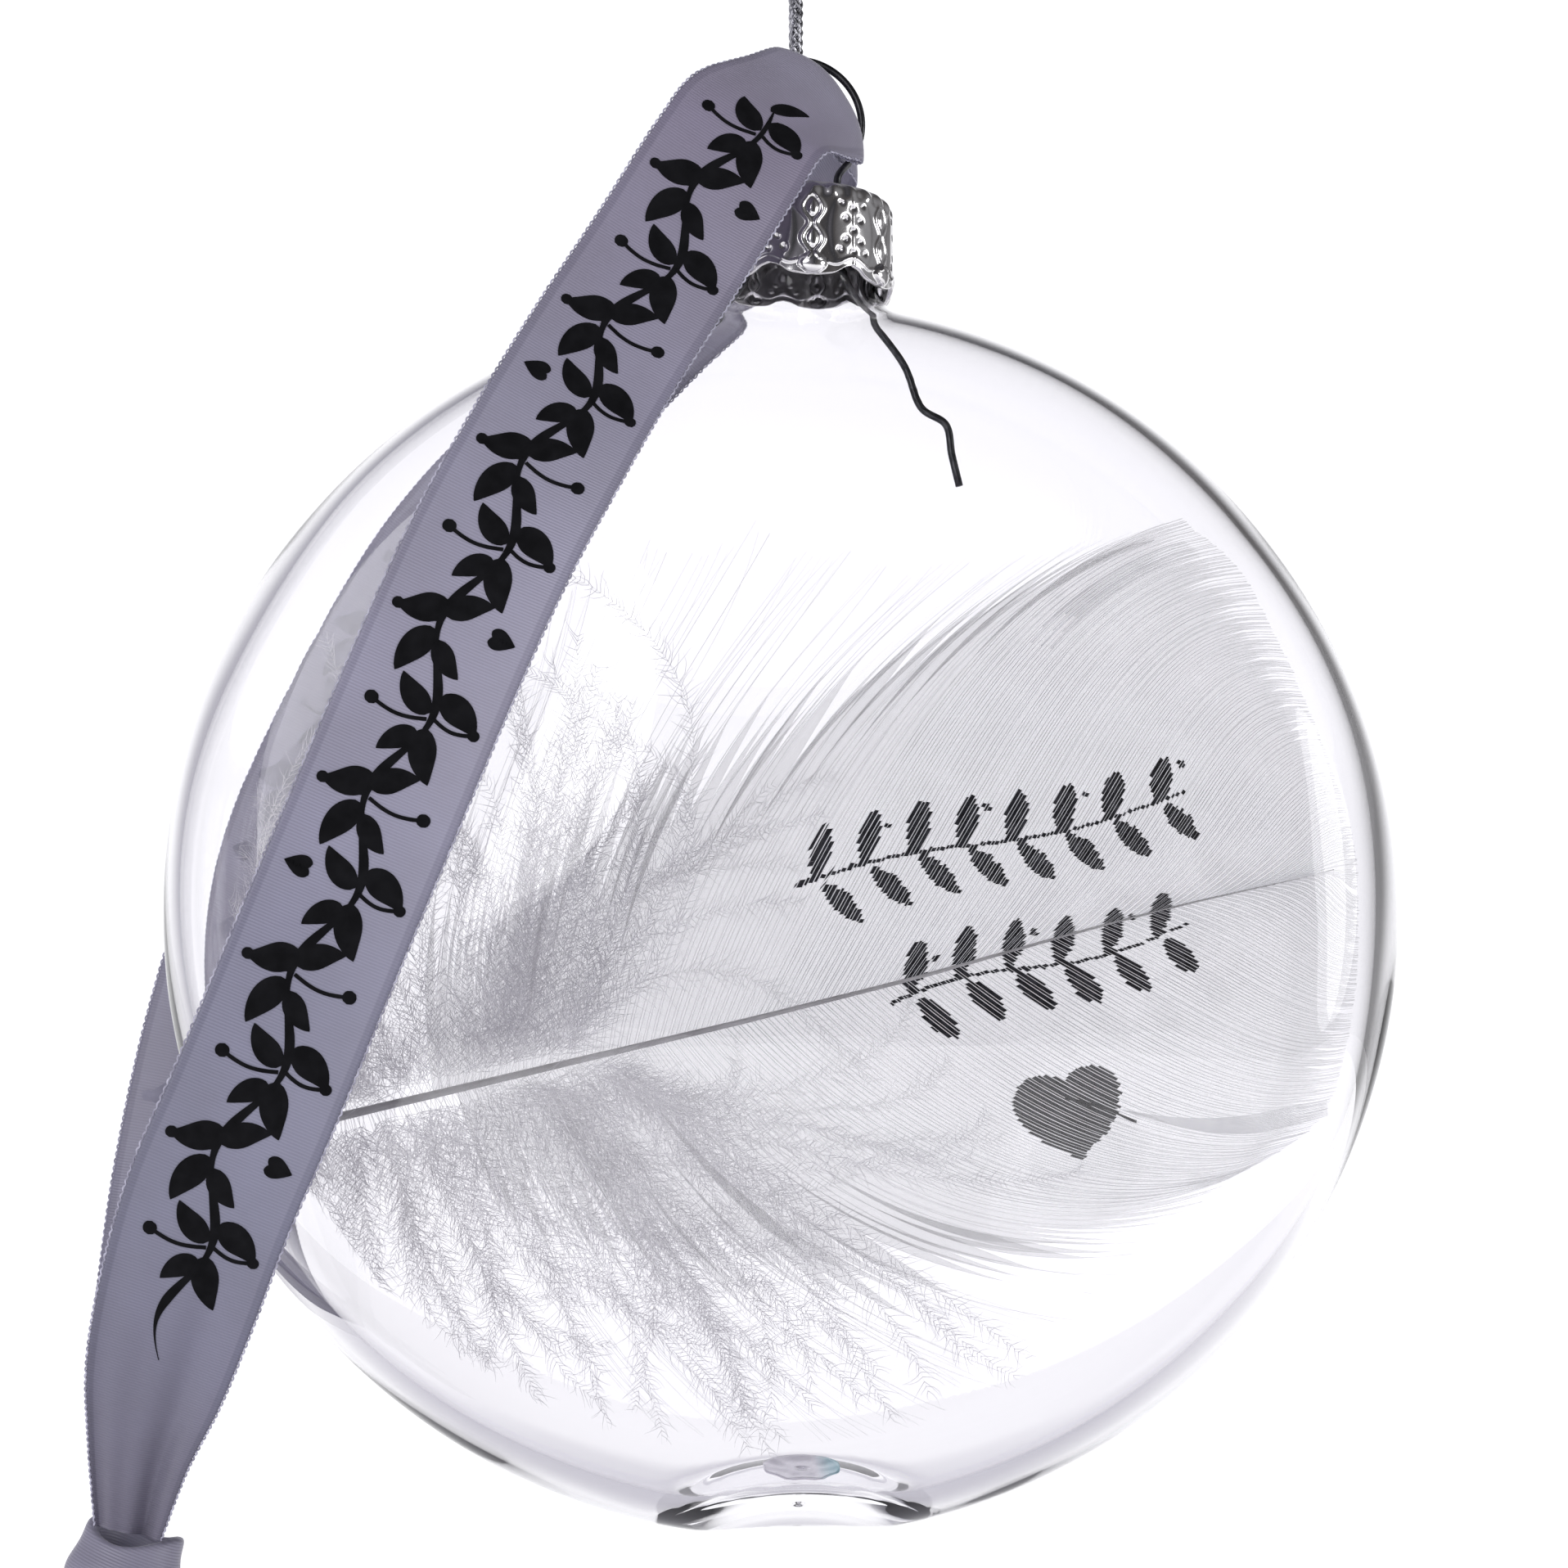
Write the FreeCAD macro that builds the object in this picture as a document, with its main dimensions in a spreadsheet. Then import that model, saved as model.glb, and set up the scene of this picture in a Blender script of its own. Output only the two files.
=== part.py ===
"""Flat glass ornament with a feather inside, a crown cap, a spring-wire hanger, a cord and a ribbon.

Millimetres. The origin is the top of the cord's loop, where a hook or twig holds it. +Z is up,
+X to the right and -Y towards the viewer, who looks at the flat face of the glass.
"""
import FreeCAD
import Part
import Sketcher
import math
import os

V = FreeCAD.Vector

SIZES = {
    # the glass: a lens-shaped body turned about Y, with a round neck on top
    "hang_drop": 83.0,  # the disc's centre below the hook
    "disc_shift": -0.75,  # the disc's centre beside the neck's axis, as hand-blown glass has it
    "disc_radius": 40.0,
    "disc_half": 15.0,  # half the thickness at the middle
    "rim_round": 10.0,
    "glass_wall": 1.4,
    "cavity_rise": 0.5,  # the hollow sits this much high, so the bottom is thicker
    "neck_radius": 5.4,
    "neck_bore": 4.5,
    "throat_radius": 6.2,  # the bore widens to this where it opens into the body
    "throat_foot": 37.5,
    "throat_top": 42.0,
    "neck_top": 46.4,  # above the disc's centre
    "neck_foot": 31.0,
    "neck_flare": 1.8,
    "punt_radius": 22.0,  # the dimple pushed into the bottom
    "punt_depth": 1.5,
    "punt_wall": 2.4,
    # the cap
    "cap_radius": 6.6,
    "cap_sheet": 0.3,
    "cap_top": 46.9,
    "cap_skirt": 6.4,  # from the top to the tips of the scallops
    "cap_corner": 0.9,
    "scallop_radius": 2.1,
    "scallop_rise": 0.9,
    "scallops": 7,
    "leg_hole": 0.75,
    # the wire
    "wire_radius": 0.25,
    "ring_radius": 4.4,
    "ring_bend": 1.2,
    "ring_height": 52.5,
    # the cord
    "cord_radius": 0.4,
    "knot_radius": 1.5,
    "knot_height": 2.6,
    "knot_flatness": 0.9,  # the knot's height over its width
    "cord_tail": 5.0,
    "cord_tail_lean": 14.0,
    "cord_tail_side": 0.3,
    # the ribbon
    "ribbon_width": 10.0,
    "ribbon_sheet": 0.3,
    "fold_radius": 1.7,
    "fold_width": 4.5,
    "fold_side": 0.65,  # the fold's middle, along the fold, from the strip's own middle
    "fold_reach": 0.9,  # the fold's line beyond the ring's centre
    "fold_angle": 36.0,  # the strip's slope where it leaves the ring
    "bow_radius": 4.4,
    "bow_half_depth": 3.4,
    "tail_length": 21.0,
    "tail_splay": 2.2,
    "bow_shift": 0.6,  # the knot's middle to the left of the strips' end
    "bow_gap": 0.3,  # between the strips' end and the knot
    "tail_gap": 0.1,  # between the knot and a tail
    # the feather
    "shaft_thick": 0.33,
    "shaft_tip": 0.1,
    "vane_sheet": 0.16,
    "down_sheet": 0.4,
    # the sequin
    "sequin_radius": 2.4,
    "sequin_sheet": 0.15,
    "sequin_tilt": 10.0,
    "sequin_gap": 0.05,  # between the sequin and the glass
}

# Right half of the wire, x and height above the disc's centre, from the cap down to the leg's end.
LEG = [(2.75, 45.2), (3.1, 42.5), (4.75, 39.5), (7.15, 35.9), (8.3, 33.0), (9.9, 31.9),
       (10.3, 29.9), (10.8, 27.8)]

# The cord's route from the knot round the hook, down in front, under the ring's top wire and back.
# y and z from the hook; the route back up is the same on the other side.
CORD = [(-0.3, 1.9), (-2.1, 1.1), (-2.3, -2.2), (-0.75, -24.6), (-0.75, -26.85)]

# The front strip's middle from the ring to the knot: x, distance in front of the disc's middle
# plane, height above the disc's centre and the share of the full width that it keeps there.
FRONT = [(-2.2, 7.3, 50.9, 0.97), (-4.6, 8.3, 47.2, 0.97), (-8.8, 9.8, 40.6, 1.0), (-12.7, 12.0, 33.8, 1.0),
         (-16.1, 14.6, 27.2, 1.0), (-20.0, 16.3, 19.3, 1.0), (-27.4, 16.3, 1.5, 1.0), (-33.2, 15.9, -13.0, 1.0),
         (-35.8, 14.6, -19.0, 1.0), (-37.9, 12.2, -25.0, 0.95), (-39.5, 9.3, -30.0, 0.84),
         (-40.8, 5.6, -34.6, 0.62), (-41.7, 2.2, -38.4, 0.42)]

# The back strip takes a wider curve to the left.
BACK = [(-2.3, 7.3, 50.6, 0.97), (-5.4, 8.3, 46.2, 0.97), (-10.2, 9.8, 40.3, 1.0), (-15.4, 12.0, 34.6, 1.0),
        (-20.4, 14.6, 28.6, 1.0), (-25.3, 16.3, 21.3, 1.0), (-31.6, 16.3, 8.2, 1.0), (-37.2, 16.1, -6.0, 1.0),
        (-39.8, 15.0, -16.0, 1.0), (-40.9, 12.6, -24.0, 0.95), (-41.4, 9.4, -30.0, 0.84),
        (-41.8, 5.6, -34.8, 0.62), (-42.0, 2.2, -38.4, 0.42)]

# A tail's start beside the knot's middle, x and y, and its stations: sideways drift, share of the
# splay, share of the length and share of the full width.
TAIL_START = (0.9, 1.0)
TAIL = [(0.0, 0.0, 0.0, 0.45), (-0.8, 7 / 11, 0.45, 0.9), (-2.2, 1.0, 1.0, 1.0)]

# Feather outlines in the disc's middle plane, x from the neck's axis and height above the disc's
# centre. SHAFT is its two ends; a vane lies between its own outline and the shaft.
SHAFT = [(-35.2, -15.2), (35.7, 2.8)]
VANE_TOP = [(-12.0, -9.2), (-4.0, 8.0), (4.2, 19.0), (14.5, 23.9), (22.8, 25.2), (26.2, 25.2), (33.0, 15.0),
            (35.9, 7.5), (35.7, 3.0)]
VANE_LOW = [(-12.0, -9.5), (-2.0, -16.8), (11.8, -20.9), (20.0, -19.6), (28.0, -17.6), (33.2, -14.2),
            (36.0, -6.0), (35.7, 2.6)]
DOWN = [(-13.5, -9.7), (-10.0, 8.0), (-17.0, 14.0), (-27.0, 13.5), (-34.0, 9.0), (-35.4, -3.0), (-34.0, -12.0),
        (-29.0, -19.5), (-20.0, -26.5), (-8.0, -30.5), (-1.0, -30.0), (-6.0, -19.0)]

TUBE_TOLERANCE = 0.03  # how far a swept bar's volume may be from its section times its length
LEG_ARC_MOST = 2.5  # largest bend in the wire's legs, mm

doc = FreeCAD.newDocument("ornament")
sheet = doc.addObject("Spreadsheet::Sheet", "Sizes")
for row, (alias, value) in enumerate(SIZES.items(), start=1):
    sheet.set(f"A{row}", alias)
    sheet.set(f"B{row}", str(value))
    sheet.setAlias(f"B{row}", alias)
doc.recompute()

NODES = []


def size(alias):
    """A driving dimension, read from the sheet."""
    return float(sheet.get(alias))


def cell(alias):
    """The same dimension as an expression."""
    return f"Sizes.{alias}"


def disc_centre(x=0.0, y=0.0, z=0.0):
    """A point given from the neck's axis, the middle plane and the disc's centre height."""
    return V(x, y, z - size("hang_drop"))


def bind(thing, **expressions):
    """Binds properties to expressions over the sheet."""
    for name, expression in expressions.items():
        thing.setExpression(name, expression)


def node(thing, name):
    """Marks an object as a sub-part: its Label is the node's name."""
    thing.Label = name
    NODES.append(thing)
    return thing


def place(thing, base, rotation=None):
    thing.Placement = FreeCAD.Placement(base, rotation or FreeCAD.Rotation())
    return thing


def plane(body, role):
    """One of a body's own origin planes."""
    return next(f for f in body.Origin.OriginFeatures if f.Role == role)


def new_sketch(body, name, role):
    """A sketch on one of the body's planes."""
    sketch = body.newObject("Sketcher::SketchObject", name)
    sketch.AttachmentSupport = [(plane(body, role), "")]
    sketch.MapMode = "FlatFace"
    return sketch


def fix_point(sketch, geometry, end, x, y):
    """Holds a sketch point at two expressions from the sketch's origin."""
    for kind, expression in (("DistanceX", x), ("DistanceY", y)):
        value = float(sketch.evalExpression(expression))
        index = sketch.addConstraint(Sketcher.Constraint(kind, -1, 1, geometry, end, value))
        sketch.setExpression(f"Constraints[{index}]", expression)


def circle(sketch, x, y, radius):
    """A circle whose centre and radius are expressions."""
    centre = V(float(sketch.evalExpression(x)), float(sketch.evalExpression(y)), 0)
    r = float(sketch.evalExpression(radius))
    geometry = sketch.addGeometry(Part.Circle(centre, V(0, 0, 1), r), False)
    fix_point(sketch, geometry, 3, x, y)
    index = sketch.addConstraint(Sketcher.Constraint("Radius", geometry, r))
    sketch.setExpression(f"Constraints[{index}]", radius)


def outline(sketch, corners, arcs=()):
    """A closed outline through corners given as pairs of expressions.

    arcs maps a side's number to its radius expression and the side it bulges to: 1 left, -1 right.
    """
    arcs = dict(arcs)
    points = [V(*[float(sketch.evalExpression(e)) for e in corner], 0) for corner in corners]
    for number, start in enumerate(points):
        end = points[(number + 1) % len(points)]
        if number in arcs:
            radius_text, side = arcs[number]
            radius = float(sketch.evalExpression(radius_text))
            chord = end - start
            across = V(-chord.y, chord.x, 0).normalize() * side
            sag = radius - math.sqrt(max(radius**2 - (chord.Length / 2) ** 2, 0))
            middle = (start + end) * 0.5 + across * sag
            geometry = sketch.addGeometry(Part.Arc(start, middle, end), False)
            curve = sketch.Geometry[geometry]
            turned = curve.StartPoint.distanceToPoint(start) > curve.EndPoint.distanceToPoint(start)
            first = 2 if turned else 1
            index = sketch.addConstraint(Sketcher.Constraint("Radius", geometry, radius))
            sketch.setExpression(f"Constraints[{index}]", radius_text)
        else:
            geometry = sketch.addGeometry(Part.LineSegment(start, end), False)
            first = 1
        fix_point(sketch, geometry, first, *corners[number])
        fix_point(sketch, geometry, 3 - first, *corners[(number + 1) % len(corners)])


def rounded_path(points, radii):
    """One wire of straight runs joined by tangent arcs, and the arc radii that it got."""
    edges = []
    at = points[0]
    for before, corner, after, radius in zip(points, points[1:], points[2:], radii):
        inward, outward = (before - corner).normalize(), (after - corner).normalize()
        turn = math.pi - inward.getAngle(outward)
        reach = radius * math.tan(turn / 2)
        start, end = corner + inward * reach, corner + outward * reach
        bisector = (inward + outward).normalize()
        middle = corner + bisector * (radius / math.cos(turn / 2) - radius)
        if at.distanceToPoint(start) > 1e-6:
            edges.append(Part.LineSegment(at, start).toShape())
        edges.append(Part.Arc(start, middle, end).toShape())
        at = end
    edges.append(Part.LineSegment(at, points[-1]).toShape())
    return Part.Wire(edges)


def corner_radii(points, share=0.45, most=1e9):
    """The largest arc that each corner's two runs allow, up to a limit."""
    radii = []
    for before, corner, after in zip(points, points[1:], points[2:]):
        turn = math.pi - (before - corner).getAngle(after - corner)
        shorter = min((before - corner).Length, (after - corner).Length)
        radii.append(min(share * shorter / math.tan(turn / 2), most))
    return radii


def swept(name, path, radius):
    """A round bar of that radius expression along a wire."""
    spine = doc.addObject("Part::Feature", name + "_path")
    spine.Shape = path
    start = path.Edges[0]
    section = doc.addObject("Part::Circle", name + "_section")
    bind(section, Radius=radius)
    tangent = start.tangentAt(start.FirstParameter)
    place(section, start.valueAt(start.FirstParameter), FreeCAD.Rotation(V(0, 0, 1), tangent))
    bar = doc.addObject("Part::Sweep", name + "_bar")
    bar.Sections = [section]
    bar.Spine = (spine, [f"Edge{i + 1}" for i in range(len(path.Edges))])
    bar.Solid = True
    bar.Frenet = False
    return bar


def check_tube(bar, path, radius):
    """Stops if a swept bar's volume is not its section times its length."""
    doc.recompute()
    expected = math.pi * radius**2 * path.Length
    print(f"{bar.Label}: length {path.Length:.1f} mm, volume {bar.Shape.Volume:.2f} of {expected:.2f} mm3")
    if abs(bar.Shape.Volume - expected) > TUBE_TOLERANCE * expected:
        raise SystemExit(f"{bar.Label} has the wrong volume")


def make_glass():
    """The blown glass: a hollow lens with a neck, and a dimple pushed into its bottom."""

    def lens(name, wall):
        """A solid lens turned about Y, smaller all round by a wall expression."""
        body = doc.addObject("PartDesign::Body", name)
        sketch = new_sketch(body, name + "_profile", "XY_Plane")
        rim_centre = "(Sizes.disc_radius - Sizes.rim_round)"
        face = (f"(({rim_centre} ^ 2 - Sizes.rim_round ^ 2 + Sizes.disc_half ^ 2)"
                " / (2 * (Sizes.disc_half - Sizes.rim_round)))")
        face_centre = f"({face} - Sizes.disc_half)"
        share = f"(({face} - {wall}) / ({face} - Sizes.rim_round))"
        meet_x, meet_y = f"{rim_centre} * {share}", f"{face_centre} * ({share} - 1)"
        half = f"(Sizes.disc_half - {wall})"
        corners = [("0", f"-{half}"), (meet_x, f"-{meet_y}"), (meet_x, meet_y), ("0", half)]
        big, small = f"({face} - {wall})", f"(Sizes.rim_round - {wall})"
        outline(sketch, corners, {0: (big, -1), 1: (small, -1), 2: (big, -1)})
        turn = body.newObject("PartDesign::Revolution", name + "_turn")
        turn.Profile = sketch
        turn.ReferenceAxis = (sketch, ["V_Axis"])
        turn.Angle = 360.0
        return body

    def ball(name, radius):
        sphere = doc.addObject("Part::Sphere", name)
        bind(sphere, Radius=radius)
        depth = "-(Sizes.disc_radius + Sizes.punt_radius - Sizes.punt_depth)"
        bind(sphere, **{"Placement.Base.x": "-Sizes.disc_shift", "Placement.Base.z": depth})
        return sphere

    def post(name, radius, foot, top):
        cylinder = doc.addObject("Part::Cylinder", name)
        bind(cylinder, Radius=radius, Height=f"{top} - {foot}")
        bind(cylinder, **{"Placement.Base.x": "-Sizes.disc_shift", "Placement.Base.z": foot})
        return cylinder

    outside = doc.addObject("Part::Fuse", "outside")
    outside.Base = lens("outer_lens", "0")
    outside.Tool = post("neck", cell("neck_radius"), cell("neck_foot"), cell("neck_top"))
    doc.recompute()
    flared = doc.addObject("Part::Fillet", "flared")
    flared.Base = outside
    root = [i for i, e in enumerate(outside.Shape.Edges, start=1)
            if size("neck_foot") + 2 < e.BoundBox.ZMin and e.BoundBox.ZMax < size("neck_top") - 2
            and e.BoundBox.DiagonalLength > size("neck_radius")]
    flared.Edges = [(i, size("neck_flare"), size("neck_flare")) for i in root]
    pushed = doc.addObject("Part::Cut", "pushed")
    pushed.Base = flared
    pushed.Tool = ball("punt", cell("punt_radius"))
    hollow = doc.addObject("Part::Cut", "hollow")
    hollow.Base = lens("inner_lens", cell("glass_wall"))
    hollow.Base.setExpression("Placement.Base.z", cell("cavity_rise"))
    hollow.Tool = ball("punt_bump", "Sizes.punt_radius + Sizes.punt_wall")
    throat = doc.addObject("Part::Cone", "throat")
    bind(throat, Radius1=cell("throat_radius"), Radius2=cell("neck_bore"))
    bind(throat, Height="Sizes.throat_top - Sizes.throat_foot")
    bind(throat, **{"Placement.Base.x": "-Sizes.disc_shift", "Placement.Base.z": cell("throat_foot")})
    inside = doc.addObject("Part::MultiFuse", "inside")
    inside.Shapes = [hollow, throat, post("neck_hole", cell("neck_bore"), cell("neck_foot"), "(Sizes.neck_top + 1)")]
    glass = doc.addObject("Part::Cut", "glass")
    glass.Base = pushed
    glass.Tool = inside
    bind(glass, **{"Placement.Base.x": cell("disc_shift"), "Placement.Base.z": "-Sizes.hang_drop"})
    return node(glass, "glass_disc")


def make_cap():
    """The stamped crown cap: a thin cup with a scalloped skirt and two holes for the wire's legs."""
    body = doc.addObject("PartDesign::Body", "cap")
    profile = new_sketch(body, "cap_profile", "XZ_Plane")
    inner = "(Sizes.cap_radius - Sizes.cap_sheet)"
    corners = [("0", "-Sizes.cap_sheet"), (inner, "-Sizes.cap_sheet"), (inner, "-Sizes.cap_skirt"),
               (cell("cap_radius"), "-Sizes.cap_skirt"), (cell("cap_radius"), "0"), ("0", "0")]
    outline(profile, corners)
    turn = body.newObject("PartDesign::Revolution", "cap_turn")
    turn.Profile = profile
    turn.ReferenceAxis = (profile, ["V_Axis"])
    turn.Angle = 360.0
    doc.recompute()
    corner = body.newObject("PartDesign::Fillet", "cap_corner")
    top_edges = [f"Edge{i}" for i, e in enumerate(turn.Shape.Edges, start=1)
                 if abs(e.BoundBox.ZMax) < 1e-6 and abs(e.BoundBox.ZMin) < 1e-6]
    corner.Base = (turn, top_edges)
    bind(corner, Radius=cell("cap_corner"))
    scallop = new_sketch(body, "scallop_outline", "XZ_Plane")
    circle(scallop, "0", "-(Sizes.cap_skirt + Sizes.scallop_radius - Sizes.scallop_rise)", cell("scallop_radius"))
    bite = body.newObject("PartDesign::Pocket", "scallop")
    bite.Profile = scallop
    bind(bite, Length="2 * Sizes.cap_radius")
    doc.recompute()
    ring = body.newObject("PartDesign::PolarPattern", "scallop_ring")
    ring.Originals = [bite]
    ring.Axis = (profile, ["V_Axis"])
    ring.Angle = 360.0
    ring.setExpression("Occurrences", cell("scallops"))
    holes = new_sketch(body, "leg_holes", "XY_Plane")
    for side in ("-", ""):
        circle(holes, f"{side}{LEG[0][0]}", "0", cell("leg_hole"))
    drilled = body.newObject("PartDesign::Pocket", "leg_hole_cut")
    drilled.Profile = holes
    bind(drilled, Length="3 * Sizes.cap_sheet")
    body.Tip = drilled
    place(body, disc_centre(z=size("cap_top")))
    return node(body, "crown_cap")


def make_wire():
    """The spring wire: most of a ring above the cap and two kinked legs that spread in the glass."""
    ring, bend, leg_x = size("ring_radius"), size("ring_bend"), LEG[0][0]
    top = disc_centre(0, 0, size("ring_height"))
    # the ring turns into each leg through a small arc outside the ring, tangent to both
    bend_centre = V(leg_x + bend, 0, -math.sqrt((ring + bend) ** 2 - (leg_x + bend) ** 2))
    leg_start = V(leg_x, 0, bend_centre.z)
    ring_end = bend_centre * (ring / (ring + bend))
    halfway = ((ring_end - bend_centre) + (leg_start - bend_centre)).normalize() * bend
    right = [top + leg_start] + [disc_centre(x, 0, z) for x, z in LEG]
    leg = rounded_path(right, corner_radii(right, most=LEG_ARC_MOST)).Edges
    half = [Part.Arc(top + ring_end, top + bend_centre + halfway, top + leg_start).toShape()] + leg
    other = [e.mirror(V(0, 0, 0), V(1, 0, 0)) for e in half]
    mirrored_end = V(-ring_end.x, 0, ring_end.z)
    loop = Part.Arc(top + mirrored_end, top + V(0, 0, ring), top + ring_end).toShape()
    path = Part.Wire(Part.sortEdges(half + other + [loop])[0])
    bar = swept("wire", path, cell("wire_radius"))
    check_tube(bar, path, size("wire_radius"))
    return node(bar, "wire_hanger")


def make_cord():
    """The braided cord: one loop from its knot round the hook and under the ring's top wire."""
    front = [V(0, y, z) for y, z in CORD]
    route = front + [V(0, -p.y, p.z) for p in reversed(front)]
    radii = corner_radii(route)
    print("cord arc radii, mm:", [round(r, 2) for r in radii])
    path = rounded_path(route, radii)
    bar = swept("cord", path, cell("cord_radius"))
    check_tube(bar, path, size("cord_radius"))
    return node(bar, "hanging_cord")


def make_cord_knot():
    """The overhand knot that closes the cord, with its two cut tails."""
    lump = doc.addObject("Part::Ellipsoid", "knot_lump")
    bind(lump, Radius1="Sizes.knot_radius * Sizes.knot_flatness", Radius2=cell("knot_radius"), Radius3=cell("knot_radius"))
    bind(lump, **{"Placement.Base.z": cell("knot_height")})
    tails = []
    for side in (-1, 1):
        tail = doc.addObject("Part::Cylinder", "knot_tail")
        bind(tail, Radius=cell("cord_radius"), Height=cell("cord_tail"))
        lean = FreeCAD.Rotation(V(1, 0, 0), -size("cord_tail_lean") * side)
        place(tail, V(0, size("cord_tail_side") * side, size("knot_height")), lean)
        tails.append(tail)
    knot = doc.addObject("Part::MultiFuse", "knot")
    knot.Shapes = [lump] + tails
    return node(knot, "cord_knot")


def strip(sections):
    """A thin band lofted through rectangles: middle, unit vector across and width of each."""
    sheet_half = size("ribbon_sheet") / 2
    wires = []
    for i, (middle, across, width) in enumerate(sections):
        before = sections[max(i - 1, 0)][0]
        after = sections[min(i + 1, len(sections) - 1)][0]
        through = across.cross(after - before).normalize() * sheet_half
        side = across * (width / 2)
        corners = [middle - side - through, middle + side - through, middle + side + through,
                   middle - side + through]
        wires.append(Part.makePolygon(corners + corners[:1]))
    return Part.makeLoft(wires, True, True)


def ribbon_frame():
    """The fold's middle, the way the strip leaves it and the way across, in the ring's plane."""
    slope = math.radians(size("fold_angle"))
    away = V(-math.cos(slope), 0, -math.sin(slope))
    across = V(math.sin(slope), 0, -math.cos(slope))
    middle = disc_centre(0, 0, size("ring_height")) - away * size("fold_reach")
    return middle, away, across


def make_ribbon_run(name, route, side):
    """One strip of the ribbon loop: side is -1 in front of the glass and 1 behind it."""
    fold, away, across = ribbon_frame()
    full = size("ribbon_width")
    start = fold + across * size("fold_side") + V(0, side * (size("fold_radius") - size("ribbon_sheet") / 2), 0)
    sections = [(start, across, size("fold_width"))]
    middles = [disc_centre(x, side * y, z) for x, y, z, _ in route]
    for i, (middle, (_, _, _, share)) in enumerate(zip(middles, route)):
        before = middles[i - 1] if i else start
        after = middles[min(i + 1, len(middles) - 1)]
        along = after - before
        sideways = V(-along.z, 0, along.x).normalize()
        sections.append((middle, sideways, full * share))
    band = doc.addObject("Part::Feature", name + "_band")
    band.Shape = strip(sections)
    length = sum((b[0] - a[0]).Length for a, b in zip(sections, sections[1:]))
    print(f"{name}: {length:.1f} mm of ribbon")
    return node(band, name)


def make_ribbon_fold():
    """Where the ribbon turns back through the wire ring: half of a thin tube."""
    fold, away, across = ribbon_frame()
    shells = []
    for name, radius in (("fold_outer", "Sizes.fold_radius"), ("fold_inner", "Sizes.fold_radius - Sizes.ribbon_sheet")):
        half = doc.addObject("Part::Cylinder", name)
        bind(half, Radius=radius, Height=cell("fold_width"))
        half.Angle = 180.0
        shells.append(half)
    bend = doc.addObject("Part::Cut", "fold_bend")
    bend.Base, bend.Tool = shells
    # local z runs across the strip and local y away from it, through the ring
    turn = FreeCAD.Rotation(V(0, 1, 0), away * -1, across, "ZYX")
    place(bend, fold + across * (size("fold_side") - size("fold_width") / 2), turn)
    return node(bend, "ribbon_fold")


def make_bow():
    """The knot that joins the two strips, and the two cut tails under it."""
    end = disc_centre(*FRONT[-1][:1], 0, FRONT[-1][2])
    centre = end + V(-size("bow_shift"), 0, -size("bow_half_depth") - size("bow_gap"))
    lump = doc.addObject("Part::Ellipsoid", "bow_lump")
    bind(lump, Radius1=cell("bow_half_depth"), Radius2=cell("bow_radius"), Radius3=cell("bow_half_depth"))
    place(lump, centre)
    node(lump, "ribbon_knot")
    for name, side in (("ribbon_tail_front", -1), ("ribbon_tail_back", 1)):
        start_x, start_y = TAIL_START
        top = centre + V(start_x * side, start_y * side, -size("bow_half_depth") - size("tail_gap"))
        sections = [(top + V(drift, size("tail_splay") * spread * side, -size("tail_length") * fall), V(1, 0, 0),
                     size("ribbon_width") * share) for drift, spread, fall, share in TAIL]
        band = doc.addObject("Part::Feature", name + "_band")
        band.Shape = strip(sections)
        node(band, name)


def flat_piece(name, corners, thickness):
    """A thin plate in the disc's middle plane, padded evenly both ways from an outline."""
    body = doc.addObject("PartDesign::Body", name + "_body")
    sketch = new_sketch(body, name + "_outline", "XZ_Plane")
    outline(sketch, [(str(x), str(z)) for x, z in corners])
    pad = body.newObject("PartDesign::Pad", name + "_pad")
    pad.Profile = sketch
    pad.SideType = "Symmetric"
    bind(pad, Length=cell(thickness))
    place(body, disc_centre())
    return node(body, name)


def make_feather():
    """The feather: a tapered shaft, a web on each side and the loose down near its foot."""
    foot, tip = (disc_centre(x, 0, z) for x, z in SHAFT)
    shaft = doc.addObject("Part::Cone", "shaft")
    bind(shaft, Radius1=cell("shaft_thick"), Radius2=cell("shaft_tip"))
    shaft.Height = foot.distanceToPoint(tip)
    place(shaft, foot, FreeCAD.Rotation(V(0, 0, 1), tip - foot))
    node(shaft, "feather_shaft")
    flat_piece("feather_vane_upper", VANE_TOP, "vane_sheet")
    flat_piece("feather_vane_lower", VANE_LOW, "vane_sheet")
    flat_piece("feather_down", DOWN, "down_sheet")


def make_sequin():
    """A loose sequin that lies on the dimple's inner bump."""
    disc = doc.addObject("Part::Cylinder", "sequin_disc")
    bind(disc, Radius=cell("sequin_radius"), Height=cell("sequin_sheet"))
    bump = size("disc_radius") - size("punt_depth") - size("punt_wall")
    lean = FreeCAD.Rotation(V(1, 0, 0), size("sequin_tilt"))
    radius = size("punt_radius") + size("punt_wall")
    rest = lean.multVec(V(0, 0, radius + size("sequin_gap"))) - V(0, 0, radius)
    place(disc, disc_centre(0, 0, -bump) + rest, lean)
    return node(disc, "sequin")


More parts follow.
